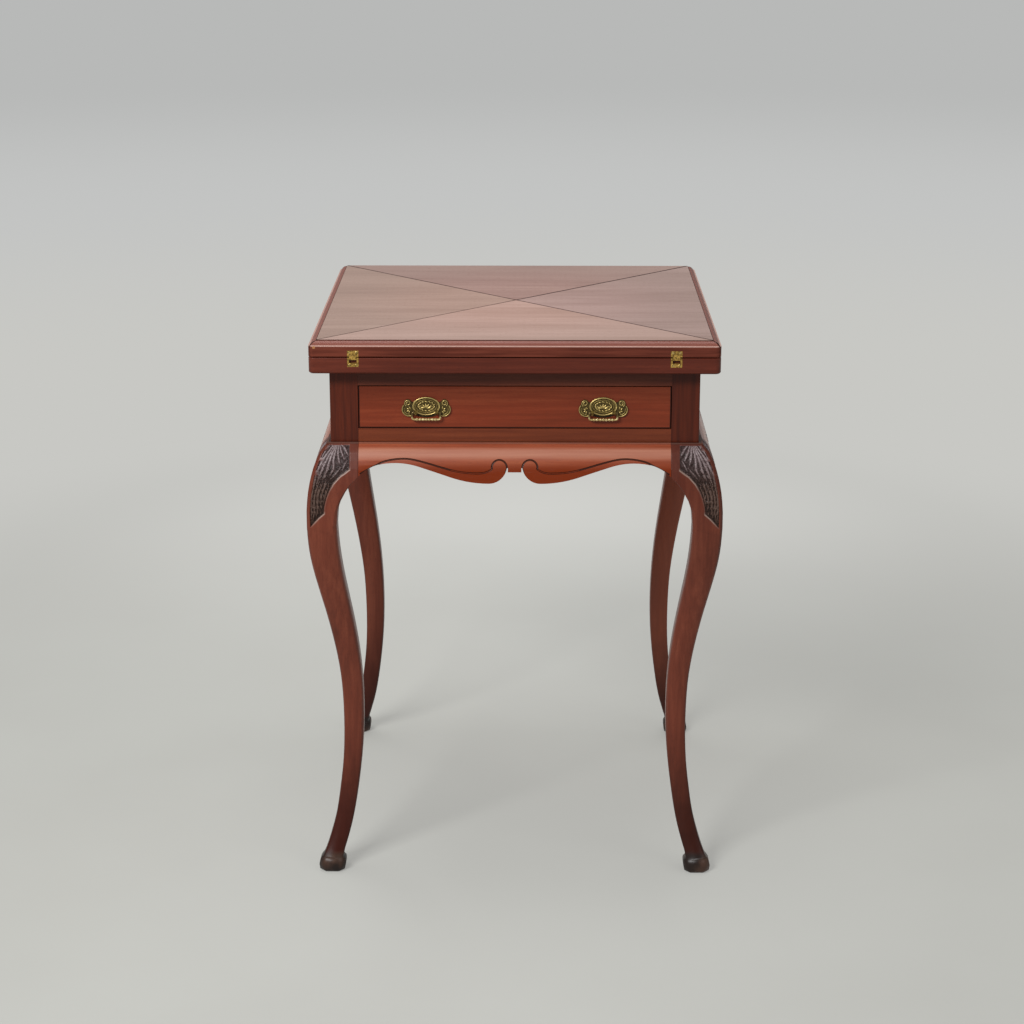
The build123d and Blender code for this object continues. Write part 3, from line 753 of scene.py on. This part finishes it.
# %% Round the ledge and shape the foot
def round_ledge(place):
    """Draws the swell's top 11 mm in towards the frieze. Places are in millimetres."""
    round_start, round_height, frieze, drawn_in = 609.0, 11.5, 247.4, 0.46
    rise = np.clip((place[:, 2] - round_start) / round_height, 0, 1) ** 2.2
    for axis in (0, 1):
        over = np.clip(np.abs(place[:, axis]) - frieze, 0, None)
        place[:, axis] -= np.sign(place[:, axis]) * over * rise * drawn_in


def shape_foot(place):
    """Lowers the front left foot's collar at its inner side and narrows it there."""
    lowered, narrowed = 8.0, 1.8
    inner = np.clip((place[:, 0] + place[:, 1] + 551.0) / 78.0, 0, 1)
    ankle = np.clip((50.0 - place[:, 2]) / 25.0, 0, 1)
    place[:, 2] -= lowered * inner * ankle * np.clip(place[:, 2] / 22.0, 0, 1)
    foot = np.clip((24.0 - place[:, 2]) / 6.0, 0, 1)
    for axis in (0, 1):
        place[:, axis] -= narrowed * foot * np.clip((place[:, axis] + 262.0) / 25.0, 0, 1)


def places_of(piece):
    """A piece's points as rows of x, y and z in millimetres."""
    place = np.zeros(len(piece.data.vertices) * 3)
    piece.data.vertices.foreach_get("co", place)
    return place.reshape(-1, 3) / mm


def reshape(piece, *changes):
    """Moves a piece's points by functions that change such rows."""
    place = places_of(piece)
    for change in changes:
        change(place)
    piece.data.vertices.foreach_set("co", (place * mm).ravel())
    piece.data.update()


print("shapes for the ledge and the foot are ready")

# %% [markdown]
# ## The aprons
# Under the frieze each side has a shaped apron. A groove runs a little inside its scalloped
# edge and curls round the volutes beside the middle tab, so the edge reads as a bead. The
# groove is cut as a gouge would cut it: a tube that follows the line on the swelling face is
# taken out of the wood by a boolean.

# %% The gouge's path
# Heights in millimetres, and how far out the knees and the aprons' faces stand there
SWELL_HEIGHTS = (505, 532, 548, 560, 570, 580, 590, 600, 610, 620.5)
SWELL_OUT = (279.3, 279.5, 278.4, 276.9, 275.1, 272.8, 270, 266.2, 261.8, 256)
# Points of the groove's left half on the front face, as x and height in millimetres
groove_points = (
    (-207, 583.5), (-199, 588.2), (-188.2, 593.6), (-173.5, 600.2), (-153.4, 603.2),
    (-136.7, 602.3), (-116.2, 597.5), (-95.8, 591.8), (-75.7, 587), (-55, 584.9),
    (-40.5, 585.7), (-31, 590),
)
volute_x, volute_z, volute_radius = -20.5, 591.9, 10.2
volute = [(volute_x + volute_radius * math.cos(math.radians(a)),
           volute_z + volute_radius * math.sin(math.radians(a))) for a in range(175, -41, -15)]


def swell(height):
    return np.interp(height, SWELL_HEIGHTS, SWELL_OUT)


def smooth_line(points, steps=4):
    """A line through the points with rounded corners, as a thin strip would lie."""
    ends = [points[0], *points, points[-1]]
    line = []
    for four in zip(ends, ends[1:], ends[2:], ends[3:]):
        for t in (step / steps for step in range(steps)):
            line.append(tuple(
                0.5 * (2 * b + (c - a) * t + (2 * a - 5 * b + 4 * c - d) * t * t
                       + (3 * b - a - 3 * c + d) * t ** 3) for a, b, c, d in zip(*four)))
    return [*line, points[-1]]


groove_line = smooth_line([*groove_points, *volute])
print("groove:", len(groove_line), "points a side")

# %% Tools for carving
def line_distance(points, line):
    """Distance from each point to a line, and how far along the line the nearest place is."""
    best = np.full(len(points), np.inf)
    share = np.zeros(len(points))
    lengths = [math.dist(a, b) for a, b in zip(line, line[1:])]
    done = 0.0
    for a, b, length in zip(line, line[1:], lengths):
        a, b = np.array(a), np.array(b)
        t = np.clip(((points - a) @ (b - a)) / length ** 2, 0, 1)
        away = np.linalg.norm(points - a - t[:, None] * (b - a), axis=1)
        near = away < best
        best[near] = away[near]
        share[near] = (done + t[near] * length) / sum(lengths)
        done += length
    return best, share


def tube_along(points, radius, name, resolution=3):
    """A round bar through the points, closed at both ends, as a mesh."""
    line = bpy.data.curves.new(name, "CURVE")
    line.dimensions = "3D"
    spline = line.splines.new("POLY")
    spline.points.add(len(points) - 1)
    for knot, point in zip(spline.points, points):
        knot.co = (*point, 1.0)
    line.bevel_depth = radius
    line.bevel_resolution = resolution
    line.use_fill_caps = True
    bar = placed(name, line)
    only(bar)
    bpy.ops.object.convert(target="MESH")
    weld(bar)
    return bar


def carve_out(piece, cutter):
    """Takes the cutter's shape out of the piece."""
    modify(piece, "BOOLEAN", operation="DIFFERENCE", solver="MANIFOLD", object=cutter)
    bpy.data.objects.remove(cutter)


print("gouges are ready")

# %% Cut the groove
groove_radius = 1.35
groove_sunk = 0.22


def from_groove(place):
    """How far each place is from the groove's line, seen from the front."""
    return line_distance(np.column_stack([-np.abs(place[:, 0]), place[:, 2]]), groove_line)[0]


def mark_groove(apron):
    """Keeps on each face whether the gouge cut it, so that the finish can paint the groove dark
    as painted shade.
    """
    points = places_of(apron)
    near = (from_groove(points) < 1.12 * groove_radius) & (points[:, 1] < -240.0)
    middles = np.array([face.center for face in apron.data.polygons]) / mm
    cut = from_groove(middles) < groove_radius
    kept = apron.data.attributes.new("groove", "FLOAT", "FACE")
    for face in apron.data.polygons:
        kept.data[face.index].value = cut[face.index] and all(near[v] for v in face.vertices)


front_apron = copy_of("front_apron", "scrolled_front_apron")
for height in (611.0, 613.5, 616.0, 618.5):
    slice_faces(front_apron, lambda c, n: n.y < -0.3, (0, 0, height * mm), (0, 0, 1))
reshape(front_apron, round_ledge)
ease(front_apron, 0.6 * mm, segments=3)
for hand in (1, -1):
    path = [(hand * x * mm, -(swell(z) + groove_sunk) * mm, z * mm) for x, z in groove_line]
    carve_out(front_apron, tube_along(path, groove_radius * mm, "gouge"))
mark_groove(front_apron)
smooth(front_apron, 45)
for side, apron in all_round(front_apron, "scrolled_{}_apron").items():
    wood = apron_wood if side in ("front", "back") else side_apron_wood
    finished(apron, "frame", "mahogany", wood, f"{side}_apron")

# %% [markdown]
# ## The carved knees
# Each knee has a panel of long acanthus strands on both outer faces, cut into the wood: the
# ground between the strands is sunk and pricked, and a plain bead is left along the outer
# arris. The knee's faces are first cut into a fine net. Then each point of the net is pushed in
# by the depth of the carving there, which is worked out from how near the point is to the
# panel's outline and to the strands. The two faces mirror each other about the arris.

# %% Lines of the carving
# Points on the front face of the front left knee, as x and height in millimetres
panel = (
    (-220.8, 619.6), (-220.6, 589), (-227, 584.2), (-233, 580.3), (-242, 570.6),
    (-248.2, 560), (-252, 550), (-254.4, 540), (-255.2, 529.9), (-263, 523),
    (-274.2, 510.6),
)
panel_top, panel_foot = panel[0][1], panel[-1][1]
arris_bead = 4.4
ground_depth = 1.7


def inner_edge(height):
    """Where the panel ends at a height, on the side away from the arris."""
    xs, heights = zip(*reversed(panel))
    return np.interp(height, heights, xs)


def on_panel(share, height):
    """A point of the panel: share 0 is at the arris bead and 1 at the panel's inner edge."""
    left = arris_bead - swell(height)
    return left + share * (inner_edge(height) - left), height


# Each strand's half width, and its line as share and height
strand_lines = (
    (1.3, ((0.16, 619), (0.07, 611), (0.04, 600))),
    (2.5, ((0.30, 619.4), (0.17, 608), (0.09, 596), (0.06, 582), (0.05, 566))),
    (2.4, ((0.36, 619.4), (0.28, 608), (0.21, 596), (0.19, 584), (0.20, 570))),
    (2.4, ((0.41, 619.4), (0.37, 609), (0.34, 598), (0.34, 587), (0.37, 576))),
    (2.4, ((0.46, 619.4), (0.46, 610), (0.47, 600), (0.51, 590), (0.57, 581))),
    (2.3, ((0.51, 619.4), (0.56, 611), (0.62, 603), (0.69, 596))),
    (2.2, ((0.56, 619.4), (0.66, 613), (0.75, 607), (0.83, 601))),
    (1.8, ((0.63, 619.4), (0.76, 616.4), (0.87, 611.6), (0.93, 607))),
    (1.3, ((0.92, 601), (0.84, 595), (0.80, 588))),
    (1.4, ((0.74, 592), (0.70, 584), (0.72, 576))),
    (2, ((0.10, 576), (0.08, 560), (0.08, 546), (0.12, 530), (0.22, 519))),
    (2, ((0.28, 573), (0.25, 559), (0.26, 546), (0.32, 533), (0.45, 519))),
    (2, ((0.46, 572), (0.44, 559), (0.46, 547), (0.52, 536), (0.62, 525))),
    (1.9, ((0.65, 571), (0.64, 560), (0.66, 550), (0.73, 539))),
    (1.6, ((0.84, 567), (0.85, 558), (0.87, 550), (0.90, 541))),
    (1.2, ((0.55, 575), (0.60, 568), (0.62, 562))),
    (1.2, ((0.37, 566), (0.36, 558), (0.37, 550))),
)
# Short cuts of the gouge between the long strands, as rows of small leaf tips
tips = [(1.15, ((share, 571.0 - 7.5 * row), (share + 0.07, 566.5 - 7.5 * row)))
        for row in range(6) for share in (0.17, 0.36, 0.55, 0.74)]
tips += [(1.0, ((share + 0.05 * row, 606.0 - 8.0 * row),
                (share + 0.05 * row - 0.03, 601.0 - 8.0 * row)))
         for row in range(4) for share in (0.12, 0.28)]
strands = [(half, smooth_line([on_panel(*point) for point in line]))
           for half, line in (*strand_lines, *tips)]
print("strands on each face:", len(strands))

# %% Depth of the carving at a point
def carving(points):
    """Depth in millimetres, share of ground that is painted dark as shade, and share of the
    rim's painted highlight, for points as (along, height)."""
    along, height = points.T
    edge, _ = line_distance(points, panel)
    from_bead = along + swell(height) - arris_bead
    from_top = panel_top - height
    inside = (from_bead > 0) & (along < inner_edge(height)) & (from_top > 0)
    inside &= height > panel_foot
    room = np.where(inside, np.minimum(np.minimum(edge, from_bead), from_top), 0)
    prick = (np.sin(along * 3.1 + 1.7 * np.sin(height * 1.9))
             * np.sin(height * 2.7 + np.sin(along * 2.3)))
    depth = ground_depth * np.clip(room, 0, 1) * (0.86 + 0.26 * prick)
    for half, line in strands:
        away, share = line_distance(points, line)
        width = half * (0.28 + 0.72 * np.sin(np.pi * (0.04 + 0.90 * share)))
        crest = np.clip(1 - (away / width) ** 2, 0, 1) ** 1.1
        depth = np.minimum(depth, ground_depth * (1 - crest * (0.97 - 0.2 * share)))
    # A painted highlight along the panel's rim, strongest where its edge faces up to the light.
    painted_highlight = np.interp(height, (510, 519, 530, 534, 562, 570, 589, 592),
                       (0, 0.8, 1, 0.15, 0.3, 1, 1, 0))
    rim = painted_highlight * np.clip(1.15 - edge, 0, 1)
    return np.where(inside, depth, 0), np.clip((room - 0.35) / 0.5, 0, 1), rim


print("deepest cut:", ground_depth, "mm")

# %% Cut the knee's net
def outward(normal):
    """Whether a face of the front left leg looks to the front or to the left."""
    return normal.x < -0.4 or normal.y < -0.4


def on_knee(centre, normal):
    """The two outer faces of the front left knee, and the arris between them."""
    return outward(normal) and 508 * mm < centre.z < 620.4 * mm


carved_leg = copy_of("front_left_leg", "carved_front_left_leg")
for step in range(15):
    slice_faces(carved_leg, lambda c, n: 495 * mm < c.z < 625 * mm and outward(n),
                (0, 0, (508.2 + 8.0 * step) * mm), (0, 0, 1))
for step in range(11):
    out = (-273.5 + 6.0 * step) * mm
    slice_faces(carved_leg, lambda c, n: on_knee(c, n) and n.y < n.x, (out, 0, 0), (1, 0, 0))
    slice_faces(carved_leg, lambda c, n: on_knee(c, n) and n.x < n.y, (0, out, 0), (0, 1, 0))
select_faces(carved_leg, on_knee)
bpy.ops.mesh.subdivide(number_cuts=8)
close()
print("knee net:", len(carved_leg.data.polygons), "faces")

# %% Carve the knee
def carve_knee(place):
    """Pushes the net in by the carving's depth and keeps area, depth and the rim's painted
    highlight on the mesh.
    """
    outer = np.minimum(place[:, 0], place[:, 1])
    along = np.maximum(place[:, 0], place[:, 1])
    skin = outer < 2.0 - swell(place[:, 2])
    depth, area, rim = (values * skin
                        for values in carving(np.column_stack([along, place[:, 2]])))
    front = place[:, 1] < place[:, 0]
    place[front, 1] += depth[front]
    place[~front, 0] += depth[~front]
    for name, values in (("carved", area), ("carving_depth", depth / (1.15 * ground_depth)),
                         ("carved_rim", rim)):
        kept = carved_leg.data.attributes.new(name, "FLOAT", "POINT")
        kept.data.foreach_set("value", values.astype(np.float32))


reshape(carved_leg, carve_knee, round_ledge, shape_foot)
smooth(carved_leg, 50, broad=False)
for corner, leg in all_round(carved_leg, "carved_{}_leg", CORNERS).items():
    finished(leg, "frame", "mahogany", leg_wood, f"{corner}_leg")

# %% [markdown]
# ## The baize linings
# When the leaves open, the card surface is one square of green baize, let into the bed and
# into each leaf. A lining is a flat cut of cloth glued in a shallow recess, so it is a sheet
# with a little thickness and soft edges. The bed's is a square and the leaves' are triangles
# cut from a square by two planes.

# %% Cut a lining
def lining(name, low, high, mitred):
    """A cloth that fills the box from low to high, cut to the front triangle if mitred."""
    side = high.x - low.x
    cloth = primitive(bpy.ops.mesh.primitive_plane_add, name, size=side,
                      location=((low.x + high.x) / 2, low.y + side / 2, low.z))
    if mitred:
        for hand in (1, -1):
            slice_faces(cloth, None, (0, high.y, 0), (hand, 1, 0), clear_outer=True)
    select_faces(cloth)
    bpy.ops.mesh.extrude_region_move(TRANSFORM_OT_translate={"value": (0, 0, high.z - low.z)})
    bpy.ops.mesh.select_all(action="SELECT")
    bpy.ops.mesh.normals_make_consistent(inside=False)
    close()
    ease(cloth, 0.25 * mm)
    return cloth


low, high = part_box("bed_baize")
bed_cloth = lining("bed_lining", low, high, False)
finished(bed_cloth, "bed", "baize", baize_cloth, "bed_baize")
low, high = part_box("front_leaf_baize")
width, length = high.x - low.x, high.y - low.y
front_cloth = lining("front_leaf_lining", low, high, True)
for side, cloth in all_round(front_cloth, "{}_leaf_lining").items():
    finished(cloth, f"{side}_leaf", "baize", baize_cloth, f"{side}_leaf_baize")
    width * length / 2

# %% [markdown]
# ## The handles
# Each handle is a stamped brass plate: an oval with a raised rim and foliage inside it, held
# between two scrolled lobes. It hangs a small bail with a beaded grip. The plate's outline is
# the solid's. On it go the rims, as bars bent along their lines, and the leaves, which are one
# leaf shape copied round the oval.

# %% A leaf of the ornament
plate_front = drawer_face - 1.2 * mm
handle_out = 118.3 * mm
handle_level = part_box("handle_plates")[1].z - 17.2 * mm


def brass_leaf(name, length, width, height):
    """A small pointed leaf lying on a plate, its tip along +X. Sizes are in millimetres."""
    leaf = primitive(bpy.ops.mesh.primitive_uv_sphere_add, name, segments=12, ring_count=8,
                     radius=1.0)
    edit_all(leaf)
    bpy.ops.transform.resize(value=(length / 2 * mm, height * mm, width / 2 * mm))
    close()

    def bend(place):
        share = place[:, 0] / (length / 2)
        place[:, 2] *= 1.0 - 0.45 * np.maximum(share, 0.0)
        place[:, 2] += 0.16 * width * np.sin(2.4 * share)

    reshape(leaf, bend)
    return leaf


def laid(shape, place, turn=0):
    """A copy of a shape turned on the plate's face and moved to its place."""
    twin = placed(shape.name, shape.data.copy())
    spin = Matrix.Rotation(-math.radians(turn), 4, "Y")
    twin.data.transform(Matrix.Translation(Vector(place)) @ spin)
    return twin


def joined(parts, name):
    """Several shapes as one mesh, with every face turned outwards."""
    whole = parts[0]
    only(whole)
    for part in parts:
        part.select_set(True)
    bpy.ops.object.join()
    whole.name = name
    edit_all(whole)
    bpy.ops.mesh.normals_make_consistent(inside=False)
    close()
    return whole


print("plate face at", round(plate_front, 5), "level", round(handle_level, 5))

# %% Lines on the plate
def on_plate(out, up, proud):
    """A point over the middle of a plate, from millimetres."""
    return out * mm, plate_front - proud * mm, handle_level + up * mm


def oval(out, up, half_width, half_height, proud, start=0, end=360, count=28, hand=1):
    """Points round an oval on the plate's face, between two angles in degrees."""
    turns = [math.radians(start + (end - start) * i / count) for i in range(count + 1)]
    return [on_plate(hand * (out + half_width * math.cos(t)), up + half_height * math.sin(t),
                     proud) for t in turns]


def spiral(out, up, reach, shrink, proud, start, step, count, hand):
    """Points of a scroll that winds inwards by so many millimetres a step."""
    turns = [(reach - shrink * i, math.radians(start + step * i)) for i in range(count)]
    return [on_plate(hand * (out + r * math.cos(t)), up + r * math.sin(t), proud)
            for r, t in turns]


def field(out, up, half_width, half_height, proud):
    """A flat oval of sheet brass on the drawer front, standing out by a little."""
    disc = primitive(bpy.ops.mesh.primitive_cylinder_add, "field", vertices=40, radius=1.0,
                     depth=1.0, rotation=(math.pi / 2, 0, 0))
    edit_all(disc)
    bpy.ops.transform.resize(value=(half_width * mm, (proud + 0.3) * mm, half_height * mm))
    bpy.ops.transform.translate(value=(out * mm, drawer_face - (proud - 0.3) / 2 * mm,
                                       handle_level + up * mm))
    close()
    return disc


print("lines for the plate are ready")

# %% The plates
def plate_rims():
    """The oval's rims, the raised fields, and the rims and scrolls of the lobes."""
    parts = [tube_along(oval(0, 4.6, 17.8, 11.7, 1.0, count=44), 0.9 * mm, "oval_rim"),
             tube_along(oval(0, 4.6, 14.2, 8.6, 0.5, count=36), 0.5 * mm, "inner_rim", 2)]
    parts += [field(*sizes) for sizes in (
        (0, 4.6, 18.2, 12.0, 1.1), (0, -4.4, 16.6, 6.6, 0.7), (20.6, 4.4, 5.4, 6.4, 0.9),
        (-20.6, 4.4, 5.4, 6.4, 0.9))]
    for hand in (1, -1):
        for start, end, radius, width in ((-118, 38, 8.9, 0.8), (-100, 20, 6.4, 0.5)):
            arc = oval(23.2, 0, radius, radius, 0.8, start, end, hand=hand)
            parts.append(tube_along(arc, width * mm, "lobe_rim", 2))
        scroll = spiral(24.6, 8.8, 4.4, 0.12, 0.9, -60, 20, 26, hand)
        parts.append(tube_along(scroll, 0.7 * mm, "scroll", 2))
    return parts


def plate_foliage():
    """A fan of leaves, a ring of small ones, curls with sprays, two bracts and a boss."""
    leaf = brass_leaf("foliage", 7.4, 3.0, 1.6)
    small = brass_leaf("small_foliage", 4.6, 2.3, 1.4)
    bract = brass_leaf("bract", 9.0, 4.6, 1.5)
    boss = brass_leaf("boss", 3.6, 3.6, 2.3)
    parts = []

    def spray(shape, out, up, reach, turn):
        """Lays a shape at a reach from a point, its tip turned outwards."""
        rise = math.radians(turn)
        tip = on_plate(out + reach * math.cos(rise), up + reach * math.sin(rise), 0.5)
        parts.append(laid(shape, tip, turn))

    for turn, reach in ((90, 3.2), (52, 3.6), (128, 3.6), (14, 4.4), (166, 4.4)):
        spray(leaf, 0, 1.6, reach, turn)
    for turn in (12 + 360 / 14 * i for i in range(14)):
        rise = math.radians(turn)
        parts.append(laid(small, on_plate(10.6 * math.cos(rise), 4.6 + 6.3 * math.sin(rise), 0.4),
                          turn + 55))
    for hand in (1, -1):
        curl = spiral(7.2, 2.6, 3.0, 0.1, 0.8, 250, -24, 22, hand)
        parts.append(tube_along(curl, 0.6 * mm, "curl", 2))
        for turn, reach in ((-62, 3.6), (-20, 4.0), (24, 3.8), (72, 3.2)):
            spray(small, hand * 21.0, -0.6, reach, turn if hand > 0 else 180 - turn)
        parts.append(laid(bract, on_plate(hand * 13.4, -5.2, 0), -38 if hand > 0 else 218))
    parts.append(laid(boss, on_plate(0, 4.6, 0.6)))
    for pattern in (leaf, small, bract, boss):
        bpy.data.objects.remove(pattern)
    return parts


ornament = joined([*plate_rims(), *plate_foliage()], "plate_ornament")
plates = copy_of("handle_plates", "stamped_handle_plates")
ease(plates, 0.3 * mm)
both = [laid(ornament, (hand * handle_out, 0, 0)) for hand in (1, -1)]
bpy.data.objects.remove(ornament)
plates = joined([plates, *both], "stamped_handle_plates")
smooth(plates, 50)
finished(plates, "drawer", "brass", cast_brass, "handle_plates")

# %% [markdown]
# The bails are cast: two short arms with inturned ends that hook into the stud eyes, and a
# straight grip with seven round beads. The arms are a bar bent along a line with rounded
# corners. One bead is shaped and repeated by an array, which keeps them even.

# %% The bails
bead_radius, bead_pitch, beads = 2.15 * mm, 4.1 * mm, 7


def bail(name, centre, low, high):
    """One bail between the studs: arms, and a grip with beads."""
    out = (low.y + high.y) / 2
    top, bar = high.z - 1.4 * mm, low.z + 3.0 * mm
    half = (high.x - low.x) / 2 - 1.4 * mm
    bends = ((12.2 * mm, top), (15.2 * mm, top), (half - 0.6 * mm, top - 0.5 * mm),
             (half, top - 2.6 * mm), (half, bar + 2.6 * mm), (half - 0.7 * mm, bar + 0.6 * mm),
             (half - 2.8 * mm, bar), (13.0 * mm, bar))
    arms = [tube_along(smooth_line([(centre + hand * x, out, z) for x, z in bends]),
                       1.35 * mm, "arm") for hand in (1, -1)]
    bead = primitive(bpy.ops.mesh.primitive_uv_sphere_add, "bead", segments=16, ring_count=10,
                     radius=bead_radius, rotation=(0, math.pi / 2, 0))
    edit_all(bead)
    bpy.ops.transform.resize(value=(0.86, 1.0, 1.0))
    close()
    modify(bead, "ARRAY", count=beads, use_relative_offset=False, use_constant_offset=True,
           constant_offset_displace=(bead_pitch, 0, 0))
    first = centre - (beads - 1) / 2 * bead_pitch
    bead.data.transform(Matrix.Translation((first, out, bar)))
    core = tube_along([(centre + end * 14.0 * mm, out, bar) for end in (-1, 1)], 1.3 * mm,
                      "core")
    whole = joined([bead, core, *arms], name)
    smooth(whole, 50)
    return whole


for side, hand in (("left", -1), ("right", 1)):
    low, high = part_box(f"{side}_handle_bail")
    pull = bail(f"beaded_{side}_bail", hand * handle_out, low, high)
    finished(pull, f"{side}_bail", "brass", bail_brass, f"{side}_handle_bail")

# %% [markdown]
# ## Hinge screws
# Each leaf is hung on two small brass link hinges let flush into the edge. Their plates are in
# the frame already. What is missing are the screws: domed heads with a slot, two in each
# plate, and the rivet in the middle of each link. One head is turned, slotted with a boolean
# and copied.

# %% One screw head
def domed_head(name, radius, proud, slotted):
    """A low domed head on the face y = 0, looking along -Y."""
    head = primitive(bpy.ops.mesh.primitive_cylinder_add, name, vertices=16, radius=radius,
                     depth=2 * proud, rotation=(math.pi / 2, 0, 0))
    select_faces(head, lambda c, n: n.y < -0.9)
    bpy.ops.mesh.bevel(offset=0.3 * radius, segments=2, affect="EDGES")
    close()
    if slotted:
        blade = primitive(bpy.ops.mesh.primitive_cube_add, "blade", size=1.0,
                          location=(0, -proud, 0),
                          scale=(3 * radius, 1.1 * proud, 0.32 * radius))
        carve_out(head, blade)
    smooth(head, 45)
    return head


screw = domed_head("screw", 1.75 * mm, 0.4 * mm, True)
rivet = domed_head("rivet", 0.55 * mm, 0.3 * mm, False)
print("one head:", len(screw.data.polygons), "faces")

# %% Screws and rivets on the four sides
hinge_out = 213.3 * mm
leaf_low, leaf_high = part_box("front_leaf_hinge_plates")
bed_low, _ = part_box("bed_front_hinge_plates")
link_low, link_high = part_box("front_hinge_links")


def set_of(pattern, name, face, height, offsets, turns):
    """Copies of a head on the front's two hinges, at offsets in millimetres from each hinge's
    middle, each turned a little differently."""
    spots = [x + offset * mm for x in (-hinge_out, hinge_out) for offset in offsets]
    return joined([laid(pattern, (x, face, height), turn) for x, turn in zip(spots, turns)],
                  name.format("front"))


fixings = [(set_of(pattern, name, *spots), name, body) for pattern, name, body, *spots in (
    (screw, "leaf_screws_{}", "{}_leaf", leaf_low.y, leaf_high.z - 2.4 * mm,
     (-4.7, 4.7), (20, 95, 60, 140)),
    (screw, "bed_screws_{}", "bed", leaf_low.y, bed_low.z + 2.5 * mm,
     (-4.4, 4.4), (80, 15, 120, 45)),
    (rivet, "link_rivets_{}", "{}_links", link_low.y, (link_low.z + link_high.z) / 2,
     (0,), (0, 0)))]
for first, name, body in fixings:
    for side, heads in all_round(first, name).items():
        finished(heads, body.format(side), "brass", screw_brass)
bpy.data.objects.remove(screw)
bpy.data.objects.remove(rivet)

# %% [markdown]
# ## Finishes for the pieces that keep their own shape
# Runners, guides, linings of the drawer, the swivel and the hinge plates are plain shapes on
# the real table too, so they stay as they came and only get their timber or metal.

# %% Timber and metal of the inner pieces
def give(material, *names):
    """Puts a finish on solids of the frame."""
    for name in names:
        node = nodes[name]
        if node.material_slots:
            node.material_slots[0].material = material
        else:
            node.data.materials.append(material)
    print(material.name, "on", len(names))


give(softwood_x, "apron_glue_blocks", "drawer_stops", "pivot_board", "drawer_bottom",
     "drawer_back")
give(softwood_y, "drawer_runners", "drawer_guides", "drawer_kickers", "drawer_left_side",
     "drawer_right_side")
give(dull_brass, "handle_studs", "handle_nuts", "pivot_bush")
give(dark_iron, "pivot_flange", "pivot_bolt", "pivot_washer", "pivot_nut", "stop_peg")
for side in SIDES:
    give(hinge_brass, f"bed_{side}_hinge_plates", f"{side}_leaf_hinge_plates",
         f"{side}_hinge_links")

# %% [markdown]
# ## The studio
# The table stands on a pale studio floor that runs into a pale background with no edge to be
# seen. The floor is matt paint that takes the shadows, mixed with a painted glow of its own that
# weakens them. That glow is brightest under the table and behind it, as painted pools of light.
# Further out the floor fades to the even tone of the background, so the room looks endless from
# any side.

# %% Floor and background
background, horizon = "c3c4c3", "b8b9b8"
place, shader, floor_paint = new_finish("studio_floor", 0.75)
cloud = noise(place, 1.3, 6.0)
feed(shader, "Base Color", blend_of(cloud.ramp(0.3, 0.7), "a2a29c", "a9aaa4"))
far = distance_to(place, (0, 0, 0))
# Painted pools of light under the table and behind it, in the floor's glow.
painted_light_behind = 1 - distance_to(place, (0, 1.0, 0)).ramp(0.3, 1.1)
under = 1 - distance_to(place, (0, -0.25, 0)).ramp(0.15, 0.75)
near = blend_of(painted_light_behind.larger(under) * 0.6, "c8c8c4", "f2f2ee")
middle = blend_of(far.ramp(3.0, 6.0), near, background)
glow = place.node("Emission", None, {
    "Color": blend_of(far.ramp(5.5, 10.0), middle, horizon), "Strength": 1.0})
both = place.node("MixShader", None, {0: far.ramp(0.7, 2.2) * 0.65 + 0.35,
                                      1: Tone(place.tree, shader.outputs[0]), 2: glow})
feed(place.tree.nodes["Material Output"], "Surface", both)
floor = primitive(bpy.ops.mesh.primitive_circle_add, "studio_floor", vertices=96, radius=30.0,
                  fill_type="NGON")
floor.data.materials.append(floor_paint)
print("floor is", floor.dimensions.x, "m across")

# %% [markdown]
# The light is a large soft source high on the left in front, a weaker one on the right, one
# over the back, and an even glow from the pale room. The room is also what the polish and the
# brass reflect.

# %% Lights
world = bpy.data.worlds.new("studio")
bpy.context.scene.world = world
world.use_nodes = True
sky = Tone(world.node_tree)
seen, glossy, through = (sky.node("LightPath", output=f"Is {ray} Ray")
                         for ray in ("Camera", "Glossy", "Transmission"))
shown = (seen + glossy + through).smaller(1.0)
ambient, backdrop, polish_sees = (
    sky.node("Background", None, {"Color": colour(code), "Strength": strength})
    for code, strength in (("ffffff", 0.32), (horizon, 1.0), ("9b9c9b", 1.0)))
room = sky.node("MixShader", None, {0: glossy, 1: backdrop, 2: polish_sees})
mixed = sky.node("MixShader", None, {0: shown, 1: ambient, 2: room})
feed(world.node_tree.nodes["World Output"], "Surface", mixed)


def softbox(name, place, aim, wide, high, watts):
    """A soft light with a flat face that points from its place to an aim."""
    lamp = bpy.data.lights.new(name, "AREA")
    lamp.energy = watts
    lamp.shape = "RECTANGLE"
    lamp.size = wide
    lamp.size_y = high
    stand = placed(name, lamp)
    stand.location = place
    stand.rotation_mode = "QUATERNION"
    stand.rotation_quaternion = (Vector(aim) - Vector(place)).to_track_quat("-Z", "Y")
    print(name, watts, "W")


softbox("key_left", (-1.7, -2.6, 2.7), (0, 0, 0.5), 1.5, 0.7, 122.0)
softbox("fill_right", (2.6, -2.0, 2.3), (0, 0, 0.5), 1.8, 1.8, 16.0)
softbox("top_back", (-0.2, 0.7, 3.3), (0, 0, 0.6), 2.0, 2.0, 60.0)
bpy.context.scene.view_settings.view_transform = "Standard"
